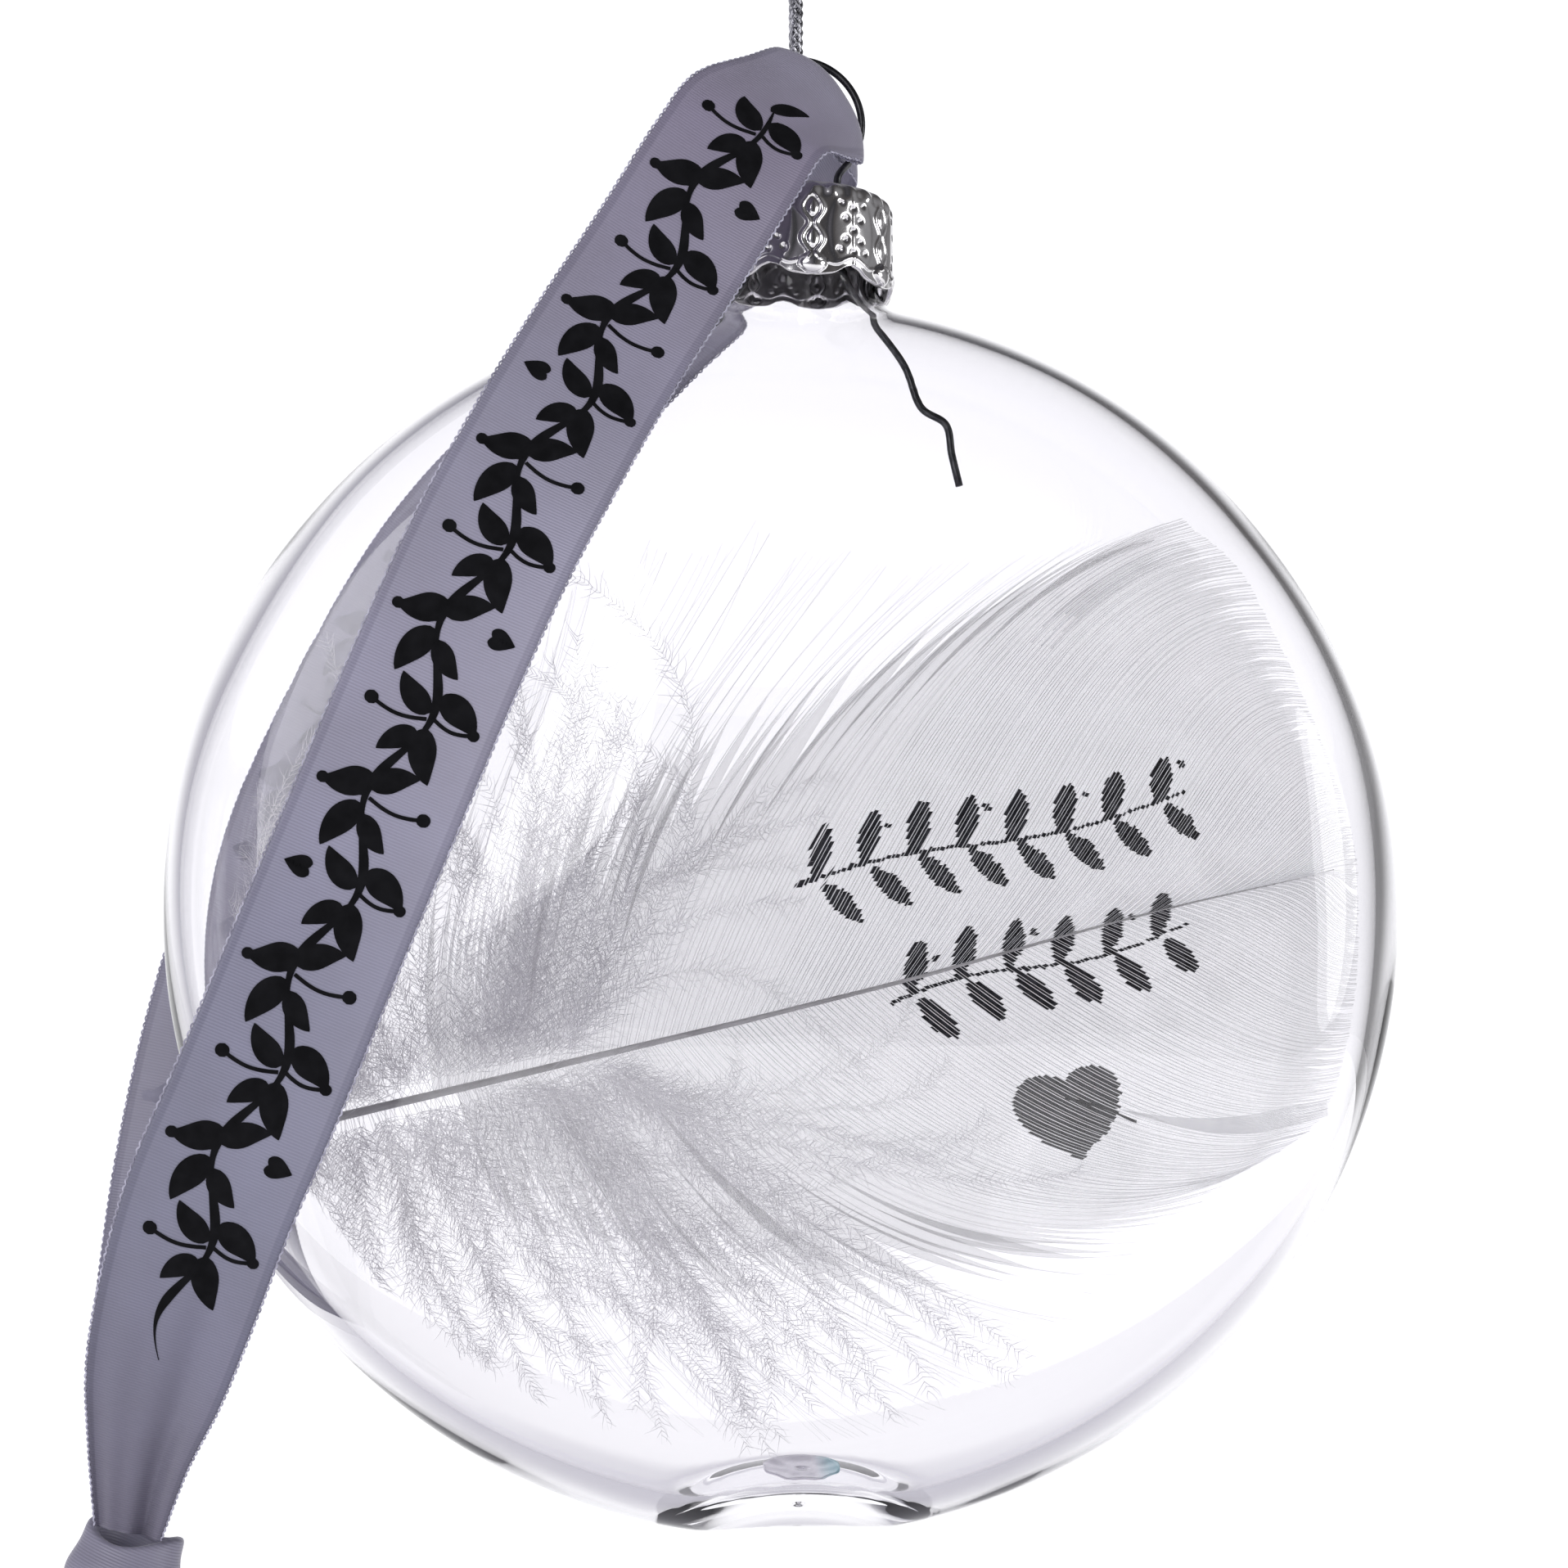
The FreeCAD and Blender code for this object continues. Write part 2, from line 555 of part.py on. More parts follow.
def check_and_write():
    """Stops on any failed object or bad shape, then writes one file per sub-part."""
    doc.recompute()
    for thing in doc.Objects:
        if {"Invalid", "Error"} & set(thing.State):
            raise SystemExit(f"{thing.Label} failed: {thing.State}")
    os.makedirs("parts", exist_ok=True)
    for thing in NODES:
        shape = thing.Shape
        if shape.isNull() or not shape.isValid() or not shape.Solids:
            raise SystemExit(f"{thing.Label} has a bad shape")
        box = shape.BoundBox
        print(f"{thing.Label}: {len(shape.Solids)} solid, {shape.Volume:.1f} mm3, "
              f"x {box.XMin:.1f} {box.XMax:.1f}, y {box.YMin:.1f} {box.YMax:.1f}, z {box.ZMin:.1f} {box.ZMax:.1f}")
        shape.exportStep(f"parts/{thing.Label}.step")


make_glass()
make_cap()
make_wire()
make_cord()
make_cord_knot()
make_ribbon_run("ribbon_front", FRONT, -1)
make_ribbon_run("ribbon_back", BACK, 1)
make_ribbon_fold()
make_bow()
make_feather()
make_sequin()
check_and_write()
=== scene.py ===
"""Flat glass ornament with a feather inside, hung on a silver cord, with a satin ribbon through its wire ring.

Lengths are millimetres until a mesh is written. x is measured from the neck's axis, y from the glass's
middle plane and z from the centre of the glass disc, so one list of points reads like a drawing.
"""
import math

import bpy
import numpy as np
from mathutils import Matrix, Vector


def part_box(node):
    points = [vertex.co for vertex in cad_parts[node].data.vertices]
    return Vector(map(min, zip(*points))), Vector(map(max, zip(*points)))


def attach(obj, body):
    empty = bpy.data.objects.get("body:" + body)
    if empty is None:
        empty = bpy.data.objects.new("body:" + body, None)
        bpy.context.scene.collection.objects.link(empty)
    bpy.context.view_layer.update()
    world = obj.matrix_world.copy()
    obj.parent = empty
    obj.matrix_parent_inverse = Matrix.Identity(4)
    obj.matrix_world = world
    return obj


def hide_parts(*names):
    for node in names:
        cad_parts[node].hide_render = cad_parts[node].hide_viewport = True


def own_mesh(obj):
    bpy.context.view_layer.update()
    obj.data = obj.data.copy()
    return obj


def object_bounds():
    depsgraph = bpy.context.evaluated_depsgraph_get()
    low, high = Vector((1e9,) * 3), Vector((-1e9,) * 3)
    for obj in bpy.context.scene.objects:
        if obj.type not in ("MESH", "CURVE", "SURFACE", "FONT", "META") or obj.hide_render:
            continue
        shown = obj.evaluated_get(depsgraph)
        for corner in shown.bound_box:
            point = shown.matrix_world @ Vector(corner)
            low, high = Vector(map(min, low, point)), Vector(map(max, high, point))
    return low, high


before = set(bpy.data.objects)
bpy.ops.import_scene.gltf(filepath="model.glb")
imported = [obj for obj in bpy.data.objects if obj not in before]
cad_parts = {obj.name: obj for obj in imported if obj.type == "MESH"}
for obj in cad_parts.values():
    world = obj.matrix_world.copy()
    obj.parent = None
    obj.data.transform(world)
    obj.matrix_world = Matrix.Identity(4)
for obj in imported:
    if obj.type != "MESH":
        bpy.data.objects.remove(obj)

CAD_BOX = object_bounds()
MM = 0.001
SEED = 7

# ---------------------------------------------------------------- places and sizes

GLASS_LOW, GLASS_HIGH = (np.array(corner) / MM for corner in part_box("glass_disc"))
CAP_LOW, CAP_HIGH = (np.array(corner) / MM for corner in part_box("crown_cap"))
DISC_RADIUS = (GLASS_HIGH[0] - GLASS_LOW[0]) / 2
DISC_SHIFT = (GLASS_HIGH[0] + GLASS_LOW[0]) / 2  # the disc's centre beside the neck's axis
DISC_HALF = GLASS_HIGH[1]
NECK_TOP = 46.4
CENTRE_Z = GLASS_HIGH[2] - NECK_TOP
RIM_ROUND = 10.0
# radius of the disc's two faces, which run out smoothly on the rim
FACE_ARC = ((DISC_RADIUS - RIM_ROUND) ** 2 - RIM_ROUND**2 + DISC_HALF**2) / (2 * (DISC_HALF - RIM_ROUND))
GLASS_WALL = 1.2
CAVITY_RISE = 0.4
NECK_RADIUS, NECK_BORE = 5.4, 4.5
NECK_FLARE, THROAT_FLARE = 1.8, 2.6
NECK_ROWS, BODY_ROWS, GLASS_COLUMNS = 12, 190, 320
PUNT_RADIUS, PUNT_DEPTH, PUNT_WALL = 14.5, 1.5, 2.9  # the dimple in the bottom
PUNT_SOFT, PUNT_REACH, PUNT_BELOW = 0.25, 15.0, -20.0

CAP_RADIUS = CAP_HIGH[0]
CAP_TOP = CAP_HIGH[2] - CENTRE_Z
CAP_SKIRT = CAP_HIGH[2] - CAP_LOW[2]
CAP_SHEET, CAP_CORNER = 0.3, 0.9
CAP_TURN = math.radians(-84.0)  # one boss looks at the viewer, a little to the right
CAP_COLUMNS = 434
SCALLOPS, SCALLOP_HALF = 7, 2.96
FLUTE_PITCH = 1.48

WIRE_RADIUS = 0.25
RING_RADIUS, RING_HEIGHT, RING_BEND = 4.4, 52.5, 1.2
LEG = [(2.75, 45.2), (3.1, 42.5), (4.75, 39.5), (7.15, 35.9), (8.3, 33.0), (9.9, 31.9), (10.3, 29.9),
       (10.8, 27.8)]

CORD_DIAMETER = 0.8
# y and z from the hook, down the front leg; the route back up is the same on the other side
CORD = [(-0.3, 1.9), (-2.1, 1.1), (-2.3, -2.2), (-0.75, -24.6), (-0.75, -26.85)]
# half of the overhand knot, from the hook
KNOT_HALF = [(0.0, 0.3, 1.55), (0.55, 0.95, 2.05), (1.0, 0.1, 2.75), (0.35, -0.95, 3.1), (-0.75, -0.75, 2.6),
             (-0.85, 0.35, 2.1), (0.0, 0.75, 2.45), (0.3, 0.25, 3.4), (0.35, 0.6, 5.0), (0.45, 1.0, 7.1)]

RIBBON_WIDTH, RIBBON_SHEET = 10.0, 0.16
RIBBON_COLUMNS, RIBBON_ROWS, TAIL_ROWS = 45, 1400, 200
TAIL_LENGTH = 24.0
RIB_SPACING = 0.19
# middle of the strip: x, distance from the middle plane, z and the share of the width that it keeps
FRONT = [(-2.9, 7.0, 50.6, 0.98), (-4.9, 8.3, 47.4, 1.0), (-8.8, 9.8, 40.6, 1.0), (-12.7, 12.0, 33.8, 1.0),
         (-16.1, 14.6, 27.2, 1.0), (-20.0, 16.2, 19.3, 1.0), (-27.4, 16.2, 1.5, 1.0), (-33.2, 15.8, -13.0, 1.0),
         (-35.8, 14.6, -19.0, 1.0), (-37.9, 12.2, -25.0, 0.95), (-39.5, 9.3, -30.0, 0.84),
         (-40.8, 5.6, -34.6, 0.62), (-41.8, 1.7, -39.4, 0.42)]
BACK = [(-2.7, 7.0, 50.4, 0.98), (-5.8, 8.3, 46.2, 1.0), (-10.9, 9.8, 40.3, 1.0), (-16.4, 12.0, 34.6, 1.0),
        (-22.0, 14.6, 28.6, 1.0), (-27.5, 16.2, 21.3, 1.0), (-34.0, 16.2, 8.2, 1.0), (-38.4, 16.0, -6.0, 1.0),
        (-40.3, 15.0, -16.0, 1.0), (-41.2, 12.6, -24.0, 0.95), (-41.7, 9.4, -30.0, 0.84),
        (-42.0, 5.6, -34.8, 0.62), (-42.2, 1.7, -39.4, 0.42)]
KNOT = np.array([-42.5, 0.0, -42.4])

SHAFT = [(-35.0, -15.1), (-29.0, -13.6), (-8.6, -8.7), (6.8, -4.8), (25.0, 0.3), (35.7, 2.75)]
UPPER_START, LOWER_START = 0.46, 0.43  # share of the shaft's length where the closed web begins
UPPER_TIPS = [(25.7, 26.0), (29.5, 22.7), (31.6, 18.9), (33.8, 14.1), (35.9, 8.8), (37.4, 3.5), (37.5, 1.4)]
LOWER_TIPS = [(28.0, -17.4), (31.2, -16.0), (34.5, -13.4), (36.2, -9.2), (37.3, -4.0), (37.5, 1.0)]
UPPER_SPREAD = [(-18.0, 17.5), (-12.0, 21.5), (-5.5, 24.0), (1.0, 22.4), (8.0, 22.0), (16.0, 23.4),
                (25.7, 26.0)]
LOWER_SPREAD = [(-9.5, -32.8), (-2.5, -34.4), (4.5, -34.9), (10.5, -31.5), (17.5, -26.6), (23.0, -20.9),
                (28.0, -17.6)]
BARB_POINTS = 26
DOWN_BARBS, DOWN_TUFTS = 98, 13
DOWN_SPACING, DOWN_REACH = 0.31, 2.9
SPREAD_REACH, HOLLOW_REACH = 34.3, 35.6  # from the disc's centre, for loose barbs and for down
CLOSED_SHARE = 0.86  # a strip of web that is closed further than this only frays at its tip

SEQUIN_LIFT = np.array([0.0, 0.0, 1.0])
SEQUIN_TILT = math.radians(6.0)
SEQUIN_SHEET = 0.09


# ---------------------------------------------------------------- lines

def lengths(line):
    """The length along a line, at each of its points."""
    return np.concatenate([[0], np.cumsum(np.linalg.norm(np.diff(line, axis=0), axis=1))])


def even(points, count):
    """A line, or a sheet by its middle column, at evenly spaced lengths."""
    along = lengths(points if points.ndim == 2 else points[:, points.shape[1] // 2])
    place = np.interp(np.linspace(0, along[-1], count), along, np.arange(len(points)))
    low = np.minimum(place.astype(int), len(points) - 2)
    part = (place - low).reshape(-1, *[1] * (points.ndim - 1))
    return points[low] * (1 - part) + points[low + 1] * part


def spline(points, count, fine=24):
    """A centripetal spline through points, or through rows of points, at evenly spaced lengths."""
    p = np.asarray(points, float)
    p = np.concatenate([[2 * p[0] - p[1]], p, [2 * p[-1] - p[-2]]])
    line = p if p.ndim == 2 else p[:, p.shape[1] // 2]
    steps = np.sqrt(np.linalg.norm(np.diff(line, axis=0), axis=1) + 1e-9)
    knots = np.concatenate([[0], np.cumsum(steps)])

    def between(t, low, high, first, last):
        return ((high - t) * first + (t - low) * last) / (high - low)

    out = []
    for i in range(1, len(p) - 2):
        t0, t1, t2, t3 = knots[i - 1:i + 3]
        t = np.linspace(t1, t2, fine, endpoint=False).reshape(-1, *[1] * (p.ndim - 1))
        a, b, c = (between(t, knots[k - 1], knots[k], p[k - 1], p[k]) for k in (i, i + 1, i + 2))
        out.append(between(t, t1, t2, between(t, t0, t2, a, b), between(t, t1, t3, b, c)))
    return even(np.concatenate(out + [p[-2:-1]]), count)


def in_plane(points, count):
    """A smooth (x, z) line through (x, z) points."""
    return spline([(x, 0.0, z) for x, z in points], count)[:, [0, 2]]


def cross_directions(path):
    """Two steady directions across a path, at each of its points."""
    tangent = np.gradient(path, axis=0)
    tangent /= np.linalg.norm(tangent, axis=1)[:, None]
    side = np.zeros_like(path)
    start = np.cross(tangent[0], [0.0, 1.0, 0.0])
    if np.linalg.norm(start) < 0.1:
        start = np.cross(tangent[0], [1.0, 0.0, 0.0])
    side[0] = start / np.linalg.norm(start)
    for i in range(1, len(path)):
        kept = side[i - 1] - tangent[i] * (side[i - 1] @ tangent[i])
        side[i] = kept / np.linalg.norm(kept)
    return side, np.cross(tangent, side)


def circle(count):
    """Evenly spaced angles of a full turn."""
    return np.linspace(0, 2 * math.pi, count, endpoint=False)


# ---------------------------------------------------------------- meshes

def outward(points, faces):
    """The faces of a closed mesh, turned round if they enclose a negative volume."""
    corners = np.array([(face[0], face[k], face[k + 1]) for face in faces for k in range(1, len(face) - 1)])
    a, b, c = (points[corners[:, k]] for k in range(3))
    return faces if np.einsum("ij,ij->", a, np.cross(b, c)) > 0 else [face[::-1] for face in faces]


def add_mesh(name, points, faces, material, smooth=True):
    """A mesh object from points of the drawing, which become metres in the row frame."""
    mesh = bpy.data.meshes.new(name)
    faces = outward(points - points.mean(0), faces)
    mesh.from_pydata(((points + [0.0, 0.0, CENTRE_Z]) * MM).tolist(), [], faces)
    if smooth:
        mesh.shade_smooth()
    mesh.materials.append(material)
    mesh.update()
    piece = bpy.data.objects.new(name, mesh)
    bpy.context.scene.collection.objects.link(piece)
    return piece


def grid_faces(rows, columns, wrap_rows=False, first=0):
    """Quads round a stack of rings of points stored ring by ring."""
    r, c = np.meshgrid(np.arange(rows if wrap_rows else rows - 1), np.arange(columns), indexing="ij")
    r2, c2 = (r + 1) % rows, (c + 1) % columns
    quads = np.stack([r * columns + c, r * columns + c2, r2 * columns + c2, r2 * columns + c], -1)
    return (quads.reshape(-1, 4) + first).tolist()


def stacks(name, many, material, smooth=True, ends=None):
    """Several closed bodies in one mesh, each a stack of rings of points; ends holds the faces over an end."""
    faces, first = [], 0
    for rings in many:
        rows, columns = rings.shape[:2]
        faces += grid_faces(rows, columns, first=first)
        for base, way in ((first, 1), (first + (rows - 1) * columns, -1)):
            faces += [[base + k for k in face][::way] for face in ends or [range(columns)]]
        first += rows * columns
    return add_mesh(name, np.vstack([rings.reshape(-1, 3) for rings in many]), faces, material, smooth)


def tubes(name, paths, radius, sides, material):
    """Several closed tubes in one mesh; radius is one number or a function of the share along a path."""
    turn = circle(sides)[None, :, None]
    many = []
    for path in paths:
        side, up = (way[:, None] for way in cross_directions(path))
        size = radius(np.linspace(0, 1, len(path))) if callable(radius) else np.full(len(path), radius)
        many.append(path[:, None] + (np.cos(turn) * side + np.sin(turn) * up) * size[:, None, None])
    return stacks(name, many, material, ends=[range(sides)[::-1]])


def dress(piece, slot, body, *nodes):
    """Put a piece on its body and hide the CAD nodes that it stands for; the slot is not used."""
    if nodes:
        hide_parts(*nodes)
    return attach(piece, body)


# ---------------------------------------------------------------- materials

def fill(tree, target, inputs):
    """Set a node's inputs, by name or number: a socket is linked, and anything else is its value."""
    for key, value in inputs.items():
        if isinstance(value, bpy.types.NodeSocket):
            tree.links.new(value, target.inputs[key])
        else:
            target.inputs[key].default_value = value


def node(tree, kind, inputs=None, **settings):
    """A new node with its settings and inputs."""
    made = tree.nodes.new("ShaderNode" + kind)
    for name, value in settings.items():
        setattr(made, name, value)
    fill(tree, made, inputs or {})
    return made


def new_material(name, **constants):
    """A material, its node tree and its Principled shader with constant inputs."""
    material = bpy.data.materials.new(name)
    material.use_nodes = True
    tree = material.node_tree
    shader = tree.nodes["Principled BSDF"]
    fill(tree, shader, {key.replace("_", " "): value for key, value in constants.items()})
    return material, tree, shader


def object_place(tree):
    return node(tree, "TexCoord").outputs["Object"]


def noise(tree, scale, detail=3.0):
    inputs = {"Vector": object_place(tree), "Scale": scale, "Detail": detail}
    return node(tree, "TexNoise", inputs).outputs["Fac"]


def ramp(tree, factor, *stops):
    """The colour of a ramp with (position, grey or colour) stops."""
    made = node(tree, "ValToRGB", {"Fac": factor})
    elements = made.color_ramp.elements
    while len(elements) < len(stops):
        elements.new(0.5)
    for element, (position, colour) in zip(elements, stops):
        element.position = position
        element.color = (*np.broadcast_to(colour, 3), 1.0)
    return made.outputs["Color"]


def map_range(tree, value, low, high, first=0.0, last=1.0, **settings):
    inputs = {"Value": value, "From Min": low, "From Max": high, "To Min": first, "To Max": last}
    return node(tree, "MapRange", inputs, **settings).outputs["Result"]


def mixed(tree, factor, first, second, blend="MULTIPLY"):
    """Two colours mixed; 6, 7 and 2 are the node's colour sockets."""
    inputs = {"Factor": factor, 6: first, 7: second}
    return node(tree, "Mix", inputs, data_type="RGBA", blend_type=blend).outputs[2]


def split_axes(tree, vector):
    outputs = node(tree, "SeparateXYZ", {"Vector": vector}).outputs
    return outputs["X"], outputs["Y"]


def bump(tree, shader, height, strength, depth):
    made = node(tree, "Bump", {"Height": height, "Strength": strength, "Distance": depth})
    fill(tree, shader, {"Normal": made.outputs["Normal"]})


def cloudy_material(name, scale, low, high, detail=3.0, relief=None, **constants):
    """A colour that drifts between two (noise level, colour) stops; relief is a bump's strength and depth."""
    material, tree, shader = new_material(name, **constants)
    cloud = noise(tree, scale, detail)
    tone = ramp(tree, cloud, low, high)
    fill(tree, shader, {"Base Color": tone})
    if constants.get("Emission_Strength"):
        fill(tree, shader, {"Emission Color": tone})
    if relief:
        bump(tree, shader, cloud, *relief)
    return material


def glass_material():
    """Clear blown glass with very slight waves and a trace of violet."""
    material, tree, shader = new_material("blown_glass", Base_Color=(0.985, 0.98, 0.995, 1.0), Roughness=0.0,
                                          IOR=1.5, Transmission_Weight=1.0)
    bump(tree, shader, noise(tree, 90.0, 1.0), 0.05, 0.0006)
    return material


def chrome_material():
    """Thin stamped tinplate, bright and polished outside and matt inside."""
    material, tree, shader = new_material("stamped_chrome", Metallic=1.0)
    tone = ramp(tree, noise(tree, 500.0), (0.3, (0.66, 0.65, 0.66)), (0.7, (0.82, 0.81, 0.82)))
    flat = node(tree, "VectorMath", {0: object_place(tree), 1: (1.0, 1.0, 0.0)}, operation="MULTIPLY")
    out = node(tree, "VectorMath", {0: flat.outputs["Vector"]}, operation="LENGTH").outputs["Value"]
    polish = map_range(tree, out, (CAP_RADIUS - 0.62) * MM, (CAP_RADIUS - 0.42) * MM, 0.75, 0.12)
    fill(tree, shader, {"Base Color": tone, "Roughness": polish})
    bump(tree, shader, noise(tree, 2500.0), 0.15, 0.00003)
    return material


def satin_material(name, light, dark):
    """Satin with crosswise ribs, a darker woven edge, a cloudy tone and painted shade along its length."""
    material, tree, shader = new_material(name, Roughness=0.42, Sheen_Weight=0.25, Sheen_Roughness=0.35)
    along, across = split_axes(tree, node(tree, "Attribute", attribute_name="strip").outputs["Vector"])
    turns = node(tree, "Math", {0: along, 1: 2 * math.pi / RIB_SPACING}, operation="MULTIPLY")
    ribs = node(tree, "Math", {0: turns.outputs[0]}, operation="SINE").outputs[0]
    edge = node(tree, "Math", {0: across}, operation="ABSOLUTE").outputs[0]
    tone = ramp(tree, noise(tree, 160.0, 4.0), (0.25, dark), (0.75, light))
    # painted shade along the ribbon: a darker, warmer patch just past the ring on the front strip, and darker
    # and greyer towards the knot on both strips
    painted_shade_along = ramp(tree, map_range(tree, along, -125.0, 125.0), (0.0, 0.80), (0.42, 0.95),
                   (0.50, (1.0, 1.0, 0.97)), (0.55, (0.80, 0.75, 0.78)), (0.65, 0.97), (0.73, 1.0),
                   (0.80, (0.82, 0.84, 0.87)), (0.86, (0.72, 0.75, 0.78)), (0.95, (0.50, 0.49, 0.50)))
    shaded = mixed(tree, 1.0, tone, painted_shade_along)
    ribbed = mixed(tree, 1.0, shaded, ramp(tree, ribs, (0.0, 0.86), (0.8, 1.0)))
    edged = mixed(tree, map_range(tree, edge, 4.42, 4.55), ribbed, (0.80, 0.80, 0.82, 1.0))
    fill(tree, shader, {"Base Color": edged})
    bump(tree, shader, ribs, 0.35, 0.00002)
    return material


def ink_material(name, dark, light, scale):
    """Printing ink that lies a little unevenly."""
    return cloudy_material(name, scale, (0.35, dark), (0.8, light), relief=(0.2, 0.00002), Roughness=0.8,
                           Specular_IOR_Level=0.15)


def fibre_material(name, low, high, scale, alpha=1.0, rough=0.6, glow=0.0):
    """Feather keratin: cloudy white. The glow stands for the light that soaks through so thin a fibre."""
    return cloudy_material(name, scale, (0.3, low), (0.7, high), Roughness=rough, Alpha=alpha,
                           Sheen_Weight=0.3, Emission_Strength=glow)


# ---------------------------------------------------------------- the glass

def lens_depth(distance, wall):
    """Half the lens's thickness at a distance from its axis; negative outside it."""
    rim_middle = DISC_RADIUS - RIM_ROUND
    face, rim = FACE_ARC - wall, RIM_ROUND - wall
    meet = rim_middle * face / (FACE_ARC - RIM_ROUND)
    on_face = np.sqrt(np.maximum(face**2 - distance**2, 0)) - (FACE_ARC - DISC_HALF)
    inside = rim**2 - (distance - rim_middle) ** 2
    on_rim = np.where(inside > 0, np.sqrt(np.maximum(inside, 0)), inside)
    return np.where(distance < meet, on_face, on_rim)


def lens_top(x, y, wall, rise):
    """Height of the lens's top over a point near the neck."""
    distance = DISC_RADIUS - RIM_ROUND + np.sqrt(np.maximum((RIM_ROUND - wall) ** 2 - y**2, 0))
    return rise + np.sqrt(distance**2 - (x - DISC_SHIFT) ** 2)


def blown_skin(directions, neck, flare, wall, rise, dimple, dimple_top):
    """One skin of the glass from the neck's lip down to the bottom: rows of rings round the neck's axis."""
    cosine, sine = np.cos(directions), np.sin(directions)
    rings = []
    # the straight neck, then a round flare that runs out on the lens
    foot = lens_top(neck * cosine, neck * sine, wall, rise) + flare
    for share in np.linspace(0, 1, NECK_ROWS, endpoint=False):
        rings.append(np.stack([neck * cosine, neck * sine, NECK_TOP + (foot - NECK_TOP) * share], 1))
    for bend in np.linspace(math.pi / 2, 0, 14):
        out = neck + flare * (1 - math.sin(bend))
        x, y = out * cosine, out * sine
        rings.append(np.stack([x, y, lens_top(x, y, wall, rise) + flare * (1 - math.cos(bend))], 1))
    # the body, along rays from the centre that sweep down to the bottom
    first = np.arctan2(neck + flare, rings[-1][:, 2])
    for share in np.linspace(0, 1, BODY_ROWS + 1)[1:]:
        tilt = np.minimum(first + (math.pi - first) * share, math.pi - 1e-4)
        ray = np.stack([np.sin(tilt) * cosine, np.sin(tilt) * sine, np.cos(tilt)], 1)
        near, far = np.zeros(len(tilt)), np.full(len(tilt), DISC_RADIUS + 2.0)
        for _ in range(36):
            middle = (near + far) / 2
            point = ray * middle[:, None]
            distance = np.hypot(point[:, 0] - DISC_SHIFT, point[:, 2] - rise)
            inside = np.abs(point[:, 1]) < lens_depth(distance, wall)
            near, far = np.where(inside, middle, near), np.where(inside, far, middle)
        rings.append(ray * near[:, None])
    rings = np.array(rings)
    # the dimple pushed up into the bottom
    z, out2 = rings[..., 2], rings[..., 0] ** 2 + rings[..., 1] ** 2
    ball = dimple_top - dimple + np.sqrt(np.maximum(dimple**2 - out2, 0))
    raised = (z + ball + np.sqrt((z - ball) ** 2 + PUNT_SOFT**2)) / 2
    rings[..., 2] = np.where((z < PUNT_BELOW) & (out2 < PUNT_REACH**2), raised, z)
    return rings


def hand_blown(rings, amount, phase):
    """Slow swellings of a few hundredths of a millimetre."""
    x, y, z = rings[..., 0], rings[..., 1], rings[..., 2]
    around = np.arctan2(z, x)
    wave = (np.sin(3 * around + phase) + 0.7 * np.sin(7 * around + 2.1 * phase + 0.25 * y)
            + 0.5 * np.sin(0.21 * x + 0.17 * z + phase))
    fade = np.clip((36.0 - z) / 12.0, 0, 1) * np.clip(np.hypot(x, z) / 22.0, 0, 1) ** 2
    return rings * (1 + amount * wave * fade / DISC_RADIUS)[..., None]


def make_glass():
    """Both skins and the lip between them, as one closed mesh."""
    turn = np.linspace(0, 2 * math.pi, 4001)
    # columns are spread evenly round the waist, where the disc is wide one way and thin the other
    waist = np.stack([DISC_RADIUS * np.cos(turn), DISC_HALF * np.sin(turn)], 1)
    polar = np.unwrap(np.arctan2(waist[:, 1], waist[:, 0]))
    along = lengths(waist)
    spread = 0.55 * along / along[-1] + 0.45 * polar / (2 * math.pi)
    directions = np.interp(np.linspace(0, 1, GLASS_COLUMNS, endpoint=False), spread, polar)
    bottom = PUNT_DEPTH - DISC_RADIUS
    outer = blown_skin(directions, NECK_RADIUS, NECK_FLARE, 0.0, 0.0, PUNT_RADIUS, bottom)
    inner = blown_skin(directions, NECK_BORE, THROAT_FLARE, GLASS_WALL, CAVITY_RISE,
                       PUNT_RADIUS + PUNT_WALL, bottom + PUNT_WALL)
    outer, inner = hand_blown(outer, 0.05, 0.6), hand_blown(inner, 0.09, 2.9)
    lip_radius = (NECK_RADIUS - NECK_BORE) / 2
    lip = []
    for bend in np.linspace(0, math.pi, 9)[1:-1]:
        out = NECK_BORE + lip_radius * (1 - math.cos(bend))
        height = np.full(GLASS_COLUMNS, NECK_TOP - lip_radius + lip_radius * math.sin(bend))
        lip.append(np.stack([out * np.cos(directions), out * np.sin(directions), height], 1))
    for skin in (outer, inner):
        skin[:NECK_ROWS, :, 2] = np.minimum(skin[:NECK_ROWS, :, 2], NECK_TOP - lip_radius)
    rings = np.concatenate([inner[::-1], np.array(lip), outer])
    dress(stacks("blown_glass", [rings], glass_material()), "glass", "glass", "glass_disc")


# ---------------------------------------------------------------- wire and cord

